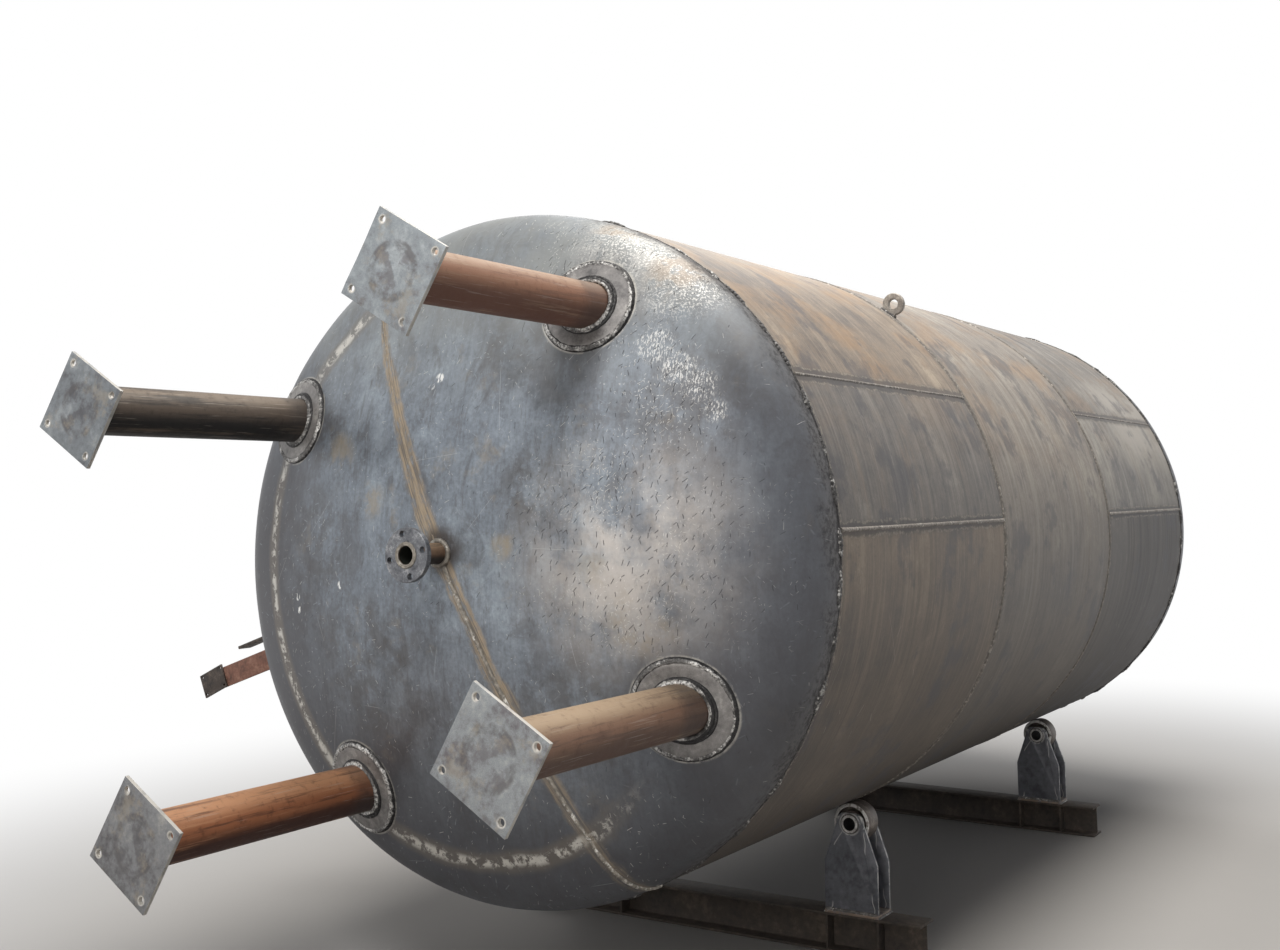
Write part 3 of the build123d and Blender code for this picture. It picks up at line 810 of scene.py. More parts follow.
        # painted shade on both flanks of the knuckle
        flank_shade = g.fade(g.size(g.minus(across, 0.03)), 0.48, 0.92)
        flank_shade = g.times(flank_shade, g.fade(up, -0.85, -0.35), g.fade(up, 0.75, 0.5),
                        g.fade(across, 0.2, 0.7, 0.72, 1.0))
        skin.lay((0.08, 0.078, 0.086), flank_shade, g.fade(haze, 0.3, 0.6, 0.88, 0.56))
        # painted highlight high on the knuckle
        top = g.times(skin.spots(flat, ((-0.5, 0.86, 0.17),), 1.0), g.fade(broken, 0.4, 0.56))
        skin.lay((0.5, 0.49, 0.47), top, 0.5)
        # press and hammer marks: thick where the head was beaten, thin elsewhere; a painted glint on the
        # upper knuckle
        cluster = g.times(skin.spots(flat, self.beaten, 0.9), 0.62)
        spread = g.noise(g.placed(where, shift=(5, 1, 2)), 5.0, 4.0, 0.6)
        amount = g.times(g.plus(cluster, 0.08), g.fade(spread, 0.36, 0.58))
        bright = skin.marks(face, 42.0, (0.45, 0.042), (1.1, 2.4), amount)
        small = skin.marks(face, 88.0, (0.44, 0.07), (1.4, 2.8), amount)
        dents = skin.marks(g.placed(face, shift=(3.3, 1.7, 0)), 43.0, (0.46, 0.05), (1.25, 1.5),
                           g.plus(g.times(cluster, 0.9), 0.05))
        rows = g.times(skin.spots(flat, self.worn_rows, 0.6),
                       g.fade(g.noise(g.placed(where, (1, 260, 105)), 1.0, 4.0, 0.65), 0.51, 0.6, 0.0, 0.8))
        # painted glint: bright specks where the upper knuckle catches the light
        lit_crest = g.times(skin.spots(flat, ((-0.5, 0.93, 0.15), (-0.66, 0.78, 0.1)), 1.1),
                        g.fade(g.noise(where, 150.0, 3.0, 0.7), 0.52, 0.6))
        marks_and_glint = g.times(g.most(bright, small), g.fade(cloud, 0.62, 0.44, 0.25, 0.9),
                        g.fade(flank_shade, 0.2, 0.8, 1.0, 0.35))
        marks_and_glint = g.most(marks_and_glint, rows, lit_crest)
        dabs = skin.marks(g.placed(face, shift=(1.9, 4.4, 0)), 23.0, (0.45, 0.045), (0.9, 3.0),
                          g.fade(haze, 0.36, 0.6, 0.25, 0.75))
        dabs = g.times(dabs, g.fade(g.noise(g.placed(where, (1, 60, 60)), 1.0, 4.0, 0.7), 0.42, 0.6))
        skin.lay((0.4, 0.44, 0.485), dabs, g.fade(across, -0.45, 0.0, 0.15, 0.4))
        skin.lay((0.055, 0.055, 0.06), dents, 0.72)
        skin.lay((0.72, 0.71, 0.68), marks_and_glint, 0.72)
        # brown stain between the worn crest and the joint
        stain = g.times(skin.spots(flat, ((-0.62, 0.83, 0.07), (-0.4, 0.985, 0.06)), 1.0),
                        g.fade(broken, 0.42, 0.56))
        skin.lay((0.24, 0.18, 0.125), stain, 0.55)
        # long hairline scratches, and three pairs of short white strokes
        hair = skin.marks(face, 4.2, (0.44, 0.0036), (0.9, 2.2), 0.45)
        skin.lay((0.62, 0.63, 0.64), hair, 0.36)
        strokes = skin.spots(flat, ((0.06, 0.51, 0.014), (0.085, 0.485, 0.01), (0.638, -0.155, 0.011),
                                    (0.628, -0.195, 0.011), (0.41, -0.107, 0.012)), 0.5)
        stroke_grain = g.fade(g.noise(g.placed(where, (1, 210, 40)), 1.0, 2.0, 0.5), 0.5, 0.54)
        skin.lay((0.85, 0.85, 0.84), strokes, stroke_grain)
        # burnished streak where the knuckle begins, rubbed away at the top right
        oval = g.placed(flat, (1.0, 1 / 0.8, 1 / 0.885))
        wander = g.times(g.minus(g.noise(where, 5.0, 3.0, 0.5), 0.5), 0.05)
        oval = g.vector("ADD", oval, g.add("CombineXYZ", {1: wander, 2: wander}).outputs[0])
        rubbed = g.fade(g.plus(across, g.times(up, -0.55)), -0.3, 0.1)
        under = skin.ring(oval, 0.962, 1.035, 0.03)
        skin.lay((0.24, 0.205, 0.165), under, rubbed, 0.45)
        threads = g.fade(g.noise(g.placed(where, (1, 26, 26)), 1.0, 7.0, 0.75, 0.3), 0.47, 0.55)
        skin.lay((0.7, 0.68, 0.63), skin.ring(oval, 0.982, 1.016, 0.022), threads, rubbed, 0.9)
        # brown band along the seam through the centre, brushed along its length, wider low down
        turned = g.placed(flat, turn=-HEAD_SEAM_ANGLE)
        _, run, off = g.split(turned)
        shake = g.times(g.minus(g.noise(where, 7.0, 5.0, 0.65), 0.5), 0.06)
        half = g.times(g.fade(run, 0.85, 0.05, 0.014, 0.03), g.fade(run, 0.0, -0.12, 1.0, 0.78))
        off = g.size(g.plus(off, shake))
        band = g.fade(g.minus(half, off), -0.01, 0.008)
        brush = g.noise(g.placed(turned, (7, 7, 170)), 1.0, 6.0, 0.7)
        tone = g.mix(g.fade(brush, 0.38, 0.6), (0.19, 0.165, 0.14), self.band)
        flakes = g.noise(g.placed(turned, (30, 18, 60)), 1.0, 6.0, 0.7)
        band = g.times(band, g.fade(flakes, 0.36, 0.5, 0.28, 1.0), g.fade(run, -0.95, -0.3, 0.5, 1.0))
        skin.lay(tone, band, g.fade(broken, 0.32, 0.48, 0.45, 0.95))
        root = skin.ring(flat, -1.0, 0.062, 0.05, (0.0, -0.008, 0.012))
        skin.lay((0.075, 0.06, 0.052), root, g.fade(broken, 0.3, 0.52, 0.3, 0.85))
        # smoke and pale worn rims round the pads, and a painted shadow of each leg pipe below its pad
        smoke = g.noise(g.placed(where, (1, 3.0, 0.7)), 7.0, 5.0, 0.6)
        dark = g.times(self.smoke_and_pipe_shadow(skin, flat), g.fade(smoke, 0.22, 0.55))
        skin.lay((0.085, 0.085, 0.095), dark, 0.72)
        for leg in range(4):
            _, y, z = around(0.0, LEG_CIRCLE, LEG_ANGLE + 90 * leg, ORIGIN)
            halo = skin.ring(flat, 0.137, 0.144, 0.006, (0.0, y, z))
            skin.lay((0.5, 0.48, 0.44), halo, g.fade(broken, 0.4, 0.56, 0.05, 0.75))
        # dark stain and rough skin along the open joint
        gap = g.plus(g.size(along), BOTTOM_RIM)
        ragged = g.times(g.minus(g.noise(where, 6.0, 8.0, 0.72), 0.5), 0.3)
        soot = g.fade(g.plus(gap, ragged), 0.115, 0.0)
        crust = g.fade(g.noise(where, 48.0, 5.0, 0.75), 0.36, 0.64)
        skin.lay(g.mix(crust, (0.03, 0.028, 0.03), (0.15, 0.145, 0.145)), soot, 0.88)
        rough = g.plus(0.36, g.times(base["Cloud"], 0.24))
        rough = g.plus(rough, g.times(soot, 0.2))
        crown = skin.spots(flat, ((-0.56, 0.82, 0.3),), 1.0)
        rough = g.plus(rough, g.times(crown, 0.14))
        rough = g.math("SUBTRACT", rough, g.times(marks_and_glint, 0.1), True)
        height = g.plus(g.times(base["Height"], 0.5), g.times(spread, 1.2))
        height = g.minus(height, g.times(g.most(dents, bright), 0.5))
        return skin.close(rough, height, 0.0014)


@dataclass(frozen=True)
class ShellFinish:
    """Rolled plate: warm scale with streaks round the shell, darkened low down with painted shade."""

    name: str
    tones: Tones = Tones((0.44, 0.39, 0.33), (0.285, 0.255, 0.225), (0.165, 0.15, 0.145))
    rust: float = 0.35
    shift: float = 0.0
    seams: Pairs = ((176.0, 0.016), (150.5, 0.01))
    ends: tuple[float, ...] = ()

    def build(self, fx: Effects) -> Material:
        """Builds the material.

        Args:
            fx: The shared effects.

        Returns:
            The finished material.
        """
        skin = Skin(self.name, fx, 0.12, 0.3)
        g, where = skin.g, skin.where
        moved = g.placed(where, shift=(self.shift, 0, 0))
        base = skin.mottle(moved, self.tones, 2.1, 0.14)
        flat = from_axis(g, where)
        _, _, height = g.split(flat)
        # streaks round the shell from rolling
        streak = g.noise(g.placed(moved, (26, 1.3, 1.3)), 1.0, 6.0, 0.62)
        skin.lay(self.tones.light, g.fade(streak, 0.52, 0.68), 0.46)
        skin.lay(self.tones.dark, g.fade(streak, 0.47, 0.33), 0.5)
        hairy = g.noise(g.placed(moved, (120, 2.4, 2.4)), 1.0, 5.0, 0.7)
        skin.lay(self.tones.light, g.fade(hairy, 0.52, 0.66), 0.34)
        skin.lay(self.tones.dark, g.fade(hairy, 0.48, 0.34), 0.38)
        grit = g.noise(moved, 70.0, 4.0, 0.75)
        skin.lay(self.tones.dark, g.fade(grit, 0.56, 0.7), 0.4)
        # runs that fell down the sides while it stood in the rain
        runs = g.noise(g.placed(moved, (13, 13, 0.9)), 1.0, 5.0, 0.6)
        skin.lay((0.36, 0.27, 0.19), g.fade(runs, 0.55, 0.75), 0.25)
        # warm rust film near the top
        film = g.noise(g.placed(moved, (1.0, 2.0, 2.0)), 2.4, 6.0, 0.65)
        film = g.times(g.fade(film, 0.44, 0.66), g.fade(height, 0.1, 0.75))
        skin.lay((0.45, 0.27, 0.13), film, self.rust)
        # painted shade: darker low down
        skin.lay((0.078, 0.069, 0.063), g.fade(height, 0.45, -0.8, 0.0, 0.76))
        along = g.split(flat)[0]
        # painted shade on the lower side towards the far end
        far = g.times(g.fade(along, 1.3, 2.5), g.fade(height, 0.14, 0.02))
        skin.lay((0.05, 0.046, 0.046), far, g.fade(streak, 0.35, 0.6, 0.92, 0.68))
        # painted shade, darker still near the bottom
        skin.lay((0.042, 0.038, 0.035), g.fade(height, -0.62, -0.98, 0.0, 0.45))
        # paler towards the far end above the middle
        pale = g.times(g.fade(along, 2.0, 2.6), g.fade(height, 0.2, 0.44))
        pale = g.times(pale, g.fade(film, 0.0, 0.4, 0.75, 0.35))
        skin.lay((0.5, 0.47, 0.43), pale, g.fade(height, 0.8, 0.6))
        # scuffs, short and long
        sheet = unrolled(g, where)
        long = skin.marks(sheet, 3.1, (0.45, 0.004), (1.4, 1.3), 0.4)
        short = skin.marks(sheet, 17.0, (0.4, 0.03), (1.5, 1.6), g.fade(streak, 0.45, 0.75, 0.02, 0.3))
        scuff = g.most(g.times(long, 0.7), short)
        skin.lay((0.56, 0.52, 0.47), scuff, 0.4)
        # heat-darkened strips along the seams
        broken = g.noise(where, 15.0, 5.0, 0.7)
        shake = g.times(g.minus(broken, 0.5), 0.035)
        strips = []
        for angle, half in self.seams:
            turned = g.add("VectorRotate", {"Vector": flat, "Angle": -radians(angle)},
                           rotation_type="X_AXIS").outputs[0]
            _, out, off = g.split(turned)
            near = g.fade(g.plus(g.size(off), shake), half + 0.014, half - 0.006)
            strips.append(g.times(near, g.math("GREATER_THAN", out, 0.0)))
        for place in self.ends:
            away = g.size(g.minus(along, place))
            strips.append(g.fade(g.plus(away, g.times(shake, 1.6)), 0.04, 0.006))
        heat = g.most(*strips)
        patch = g.noise(g.placed(moved, shift=(0, 3, 1)), 4.2, 6.0, 0.65)
        skin.lay((0.092, 0.092, 0.105), g.fade(patch, 0.54, 0.64), 0.55)
        skin.lay((0.072, 0.068, 0.07), heat, 0.7)
        pale = g.times(g.fade(grit, 0.44, 0.56), g.fade(heat, 0.15, 0.5))
        skin.lay((0.4, 0.36, 0.3), pale, g.fade(heat, 1.0, 0.7), 0.55)
        return skin.close(g.plus(0.42, g.times(base["Cloud"], 0.3)),
                          g.plus(g.times(streak, 0.6), base["Height"]), 0.0012)


@dataclass(frozen=True)
class BeadFinish:
    """Bare weld metal: dark slag between bright ripples."""

    name: str = "weld_metal"
    tones: Tones = Tones((0.66, 0.65, 0.63), (0.165, 0.158, 0.155), (0.03, 0.028, 0.03))
    scale: float = 110.0
    metallic: float = 0.45
    crests: tuple[float, ...] = ()

    def lit_crest(self, g: Graph, where: object) -> Socket:
        """1 on the crests of the beads round the four legs, 0 on their flanks, for a painted highlight and
        painted shade.
        """
        _, across, up = g.split(g.placed(from_axis(g, where), turn=-LEG_ANGLE))
        across, up = g.size(across), g.size(up)
        away = g.length(g.pair(g.minus(g.most(across, up), LEG_CIRCLE), g.math("MINIMUM", across, up)))
        away = g.plus(away, g.times(g.minus(g.noise(where, 42.0, 3.0, 0.6), 0.5), 0.012))
        return g.most(*(g.fade(g.size(g.minus(away, radius)), 0.0074, 0.005) for radius in self.crests))

    def build(self, fx: Effects) -> Material:
        """Builds the material.

        Args:
            fx: The shared effects.

        Returns:
            The finished material.
        """
        skin = Skin(self.name, fx, self.metallic)
        g, where = skin.g, skin.where
        bead = g.use(fx.bead, {"Vector": where, "Light": self.tones.light, "Middle": self.tones.middle,
                               "Dark": self.tones.dark, "Scale": self.scale})
        skin.colour = bead.outputs["Color"]
        if self.crests:
            lit_crest = self.lit_crest(g, where)
            broken = g.fade(g.noise(where, 13.0, 4.0, 0.65), 0.43, 0.57, 0.1, 1.0)
            ripple = g.fade(g.noise(where, 150.0, 3.0, 0.65), 0.42, 0.56, 0.1, 1.0)
            # painted shade off the crests and a painted highlight along them
            skin.lay(self.tones.dark, g.fade(lit_crest, 0.6, 0.0, 0.0, 0.9))
            skin.lay(self.tones.light, lit_crest, broken, ripple, 0.9)
        return skin.close(g.minus(0.6, g.times(bead.outputs["Bright"], 0.3)), bead.outputs["Height"], 0.003)


@dataclass(frozen=True)
class SteelFinish:
    """Mottled bare steel for plates, flanges and fittings."""

    name: str
    tones: Tones
    scale: float = 14.0
    metallic: float = 0.25
    roughness: float = 0.5
    grain: float = 0.2
    scratches: float = 0.4

    def build(self, fx: Effects) -> Material:
        """Builds the material.

        Args:
            fx: The shared effects.

        Returns:
            The finished material.
        """
        skin = Skin(self.name, fx, self.metallic)
        g, where = skin.g, skin.where
        base = skin.mottle(where, self.tones, self.scale, self.grain)
        _, across, up = g.split(where)
        marks = skin.marks(g.pair(across, up), 38.0, (0.45, 0.03), (0.7, 3.0), 0.35)
        skin.lay(self.tones.light, marks, self.scratches)
        return skin.close(g.plus(self.roughness - 0.12, g.times(base["Cloud"], 0.24)), base["Height"], 0.0007)


@dataclass(frozen=True)
class PipeFinish:
    """Rusty pipe, paler on its upper side with painted light and darker below with painted shade, with
    scratches along it and a scorched end.
    """

    name: str
    tones: Tones
    scorch_x: float = -1.71
    burn: float = 0.5
    bore: float = 0.0

    def build(self, fx: Effects) -> Material:
        """Builds the material.

        Args:
            fx: The shared effects.

        Returns:
            The finished material.
        """
        skin = Skin(self.name, fx, 0.1, 0.4)
        g, where = skin.g, skin.where
        long = g.noise(g.placed(where, (1.6, 34, 34)), 1.0, 7.0, 0.7)
        spots = g.noise(where, 34.0, 6.0, 0.7)
        # painted light on the upper side and painted shade on the underside, by which way a face looks
        facing = skin.facing(2)
        skin.colour = g.mix(g.fade(facing, -0.5, 0.15), self.tones.dark, self.tones.middle)
        skin.lay(self.tones.light, g.fade(g.plus(facing, g.times(long, 0.4)), 0.45, 1.1))
        skin.lay(self.tones.dark, g.fade(spots, 0.52, 0.7), 0.45)
        skin.lay(self.tones.light, g.fade(long, 0.53, 0.64), 0.55)
        skin.lay(self.tones.dark, g.fade(long, 0.48, 0.37), 0.7)
        scrape = g.noise(g.placed(where, (5, 170, 170)), 1.0, 3.0, 0.6)
        skin.lay((0.5, 0.44, 0.38), g.fade(scrape, 0.62, 0.68), 0.28)
        along, _, _ = g.split(where)
        burnt = g.fade(g.plus(along, g.times(spots, 0.05)), self.scorch_x - 0.03, self.scorch_x + 0.05)
        skin.lay((0.05, 0.045, 0.045), burnt, self.burn)
        # painted shade inside the bore
        if self.bore:
            radial = g.length(g.vector("MULTIPLY", from_axis(g, where), (0.0, 1.0, 1.0)))
            skin.lay((0.02, 0.022, 0.018), g.fade(radial, self.bore + 0.002, self.bore + 0.0006))
        return skin.close(g.plus(0.42, g.times(spots, 0.35)), g.plus(spots, long), 0.0009)


@dataclass(frozen=True)
class BasePlateFinish:
    """Plate with the round heat mark of the pipe behind it and rubbed hole rims."""

    name: str
    centre: Point
    turn: float
    tones: Tones
    hole_offset: float = 0.095
    pipe_radius: float = 0.07

    def build(self, fx: Effects) -> Material:
        """Builds the material.

        Args:
            fx: The shared effects.

        Returns:
            The finished material.
        """
        skin = Skin(self.name, fx, 0.25, 0.4)
        g, where = skin.g, skin.where
        near = g.vector("SUBTRACT", where, self.centre)
        near = g.add("VectorRotate", {"Vector": near, "Angle": -radians(self.turn)},
                     rotation_type="X_AXIS").outputs[0]
        base = skin.mottle(where, self.tones, 9.0, 0.2)
        wave = g.noise(near, 22.0, 3.0, 0.6)
        shaken = g.vector("ADD", near, g.times(g.minus(wave, 0.5), 0.014))
        ring = skin.ring(shaken, self.pipe_radius - 0.012, self.pipe_radius + 0.008, 0.009)
        inner = skin.ring(shaken, -1.0, self.pipe_radius, 0.03)
        blotch = g.noise(near, 17.0, 5.0, 0.65)
        skin.lay((0.105, 0.097, 0.098), ring, g.fade(blotch, 0.34, 0.56), 0.68)
        skin.lay(self.tones.dark, inner, g.fade(blotch, 0.46, 0.6), 0.7)
        tint = g.noise(g.placed(near, shift=(0.3, 0.2, 0.5)), 13.0, 5.0, 0.7)
        skin.lay((0.36, 0.315, 0.25), g.fade(tint, 0.52, 0.64), 0.45)
        folded = g.vector("ABSOLUTE", near)
        rim = skin.ring(folded, 0.008, 0.0125, 0.004, (0.0, self.hole_offset, self.hole_offset))
        skin.lay((0.62, 0.6, 0.56), rim, g.fade(wave, 0.35, 0.55))
        facing = g.size(skin.facing(0))
        edge = g.times(g.fade(facing, 0.9, 0.6), g.fade(blotch, 0.36, 0.52, 0.35, 1.0))
        skin.lay((0.6, 0.575, 0.53), edge, 0.8)
        return skin.close(g.plus(0.36, g.times(blotch, 0.3)), g.plus(base["Height"], ring), 0.0008)


@dataclass(frozen=True)
class BracketFinish:
    """Dark scale with long curved scratches, bare worn edges, a rubbed top and a tan foot."""

    name: str = "bracket_scale"
    tones: Tones = Tones((0.27, 0.28, 0.31), (0.165, 0.172, 0.196), (0.088, 0.093, 0.108))
    bare: Colour = (0.66, 0.66, 0.65)
    top: float = 0.472
    foot: float = 0.142

    def build(self, fx: Effects) -> Material:
        """Builds the material.

        Args:
            fx: The shared effects.

        Returns:
            The finished material.
        """
        skin = Skin(self.name, fx, 0.28)
        g, where = skin.g, skin.where
        base = skin.mottle(where, self.tones, 9.0, 0.14)
        _, across, up = g.split(where)
        side = g.pair(across, up)
        curved = g.vector("ADD", side, g.times(g.noise(side, 6.0, 2.0, 0.5), 0.14))
        long = skin.marks(curved, 6.5, (0.46, 0.015), (1.3, 1.1), 0.7)
        skin.lay(self.bare, long, 0.85)
        broken = g.noise(where, 40.0, 4.0, 0.7)
        facing = g.size(skin.facing(0))
        edge = g.times(g.fade(facing, 0.95, 0.5), g.fade(broken, 0.42, 0.56, 0.1, 0.8))
        radial = skin.from_pin()
        worn = g.times(g.fade(radial, 0.04, 0.047), g.fade(up, PIN_HEIGHT, self.top - 0.01))
        worn = g.times(worn, g.fade(broken, 0.44, 0.54))
        ringed = g.times(g.fade(radial, 0.0425, 0.037), g.fade(broken, 0.38, 0.5))
        bare = g.most(edge, g.most(worn, g.times(ringed, 0.8)))
        skin.lay(self.bare, bare)
        tan = g.times(g.fade(up, self.foot + 0.004, self.foot - 0.002), g.fade(broken, 0.36, 0.5, 0.3, 0.9))
        skin.lay((0.3, 0.225, 0.175), tan)
        return skin.close(g.plus(0.36, g.times(base["Cloud"], 0.24)), base["Height"], 0.0007)


@dataclass(frozen=True)
class RollerFinish:
    """Dark rolled tread with bare, rubbed rims."""

    name: str = "roller_steel"
    tones: Tones = Tones((0.28, 0.25, 0.22), (0.12, 0.1, 0.088), (0.05, 0.043, 0.039))
    rim: float = 0.055

    def build(self, fx: Effects) -> Material:
        """Builds the material.

        Args:
            fx: The shared effects.

        Returns:
            The finished material.
        """
        skin = Skin(self.name, fx, 0.35)
        g, where = skin.g, skin.where
        base = skin.mottle(where, self.tones, 18.0, 0.2)
        radial = skin.from_pin()
        facing = g.size(skin.facing(0))
        rubbed = g.times(g.fade(radial, self.rim - 0.001, self.rim + 0.002), g.fade(facing, 0.2, 0.6))
        rubbed = g.times(rubbed, g.fade(g.noise(where, 46.0, 4.0, 0.7), 0.38, 0.52, 0.15, 0.95))
        skin.lay((0.74, 0.73, 0.71), rubbed)
        return skin.close(g.plus(0.36, g.times(base["Cloud"], 0.24)), base["Height"], 0.0007)


@dataclass(frozen=True)
class PinFinish:
    """Bright broken ring at a hollow pin's end round a bore darkened with painted shade."""

    name: str = "pin_steel"
    tones: Tones = Tones((0.95, 0.94, 0.92), (0.66, 0.65, 0.63), (0.16, 0.155, 0.15))
    bore: float = PIN_BORE

    def build(self, fx: Effects) -> Material:
        """Builds the material.

        Args:
            fx: The shared effects.

        Returns:
            The finished material.
        """
        skin = Skin(self.name, fx, 0.5)
        g, where = skin.g, skin.where
        base = skin.mottle(where, self.tones, 38.0, 0.2)
        radial = skin.from_pin()
        # painted shade inside the bore
        painted_bore_shade = g.fade(radial, self.bore + 0.0022, self.bore + 0.0006)
        skin.lay((0.016, 0.015, 0.015), painted_bore_shade)
        return skin.close(g.plus(0.3, g.times(painted_bore_shade, 0.6)), base["Height"], 0.0008)


# Sub-assemblies


def closed_spin(name: str, outline: list[tuple[float, float]], centre: Point, steps: int = 64) -> Piece:
    """Spins a closed outline of (x, radius) pairs about an axis parallel to X."""
    points = [(x, centre[1] + r, centre[2]) for x, r in outline + outline[:1]]
    return spun(name, points, centre, steps)


def ring_outline(near: float, far: float, inner: float, outer: float,
                 edge: float) -> list[tuple[float, float]]:
    """Outlines a turned ring whose outer edges are broken.

    Args:
        near: Where its first face is along X.
        far: Where its second face is.
        inner: Its inner radius.
        outer: Its outer radius.
        edge: How much of each outer edge is broken.

    Returns:
        Pairs of x and radius.
    """
    step = copysign(edge, far - near)
    return [(near, inner), (near, outer - edge), (near + step, outer), (far - step, outer),
            (far, outer - edge), (far, inner)]


def plate_from_outline(name: str, points: list[Point], through: Point) -> Piece:
    """Fills a closed outline and gives it thickness.

    Args:
        name: The new piece's name.
        points: The outline's corners in order.
        through: The thickness, as a vector.

    Returns:
        The solid plate.
    """
    piece = profile(name, points + points[:1])
    open_mesh(piece)
    bpy.ops.mesh.remove_doubles(threshold=HAIR)
    bpy.ops.mesh.edge_face_add()
    bpy.ops.mesh.extrude_region_move(TRANSFORM_OT_translate={"value": through})
    close_mesh()
    return outward(piece)


def dish(joint: float, out: int, offset: float = 0.0, hole: float = 0.0302,
         angle: float = 0.0) -> list[Point]:
    """Points of a head's outside from its rim to the hole in its middle.

    Args:
        joint: Where the head's rim is along X.
        out: 1 or -1, the way that the head bulges.
        offset: How far outside the head's own surface the points lie.
        hole: The radius at which the line ends.
        angle: The direction in which the line runs in from the rim.

    Returns:
        The points in order.
    """
    crown, knuckle, flange = 2.1, 0.24, 0.035
    depth = sqrt((crown - knuckle) ** 2 - (SHELL_R - knuckle) ** 2)
    turn = asin((SHELL_R - knuckle) / (crown - knuckle))
    line = [(0.0, SHELL_R + offset), (flange * 0.5, SHELL_R + offset)]
    for k in range(17):
        a = (pi / 2 - turn) * k / 16
        line.append((flange + (knuckle + offset) * sin(a), SHELL_R - knuckle + (knuckle + offset) * cos(a)))
    last = asin(hole / crown)
    for k in range(1, 33):
        a = turn + (last - turn) * k / 32
        line.append((flange - depth + (crown + offset) * cos(a), (crown + offset) * sin(a)))
    return [around(joint + out * x, r, angle) for x, r in line]


@dataclass
class DishedHead:
    """One dished end: the pressed skin and the weld along its middle seam."""

    name: str
    facing: Facing
    rim: float
    wall: float = 0.01
    seam_angle: float = HEAD_SEAM_ANGLE
    manhole: Point | None = None
    manhole_radius: float = 0.254
    dent_length: float = 0.42
    dent_depth: float = 0.005
    skin: Piece | None = None

    def build(self, finish: Material) -> Piece:
        """Presses the skin: spins it, dents it a little and gives it its wall."""
        out = self.facing.value
        skin = spun(f"{self.name}_head_skin", dish(self.rim, out), AXIS_POINT, 240)
        clouded(skin, self.dent_length, self.dent_depth)
        modify(skin, "SOLIDIFY", thickness=self.wall, offset=-1.0)
        if self.manhole:
            cut(skin, [disc("manhole_drill", self.manhole, self.manhole_radius, 1.2)])
        self.skin = dress(smooth(skin, 40), finish, "head_plate", f"{self.name}_head_upper_half",
                          f"{self.name}_head_lower_half")
        return self.skin

    def lay_run(self, side: float, sink: float, radius: float) -> Piece:
        """Lays one run of the middle seam, from the rim in to the nozzle.

        Args:
            side: 0 for the run above the nozzle, 180 for the one below it.
            sink: How far the bead's middle lies under the skin.
            radius: Half of the bead's width.

        Returns:
            The bead.
        """
        points = dish(self.rim, self.facing.value, -sink, 0.042, self.seam_angle + side)
        return bead_along("seam_run", points[1:], radius)


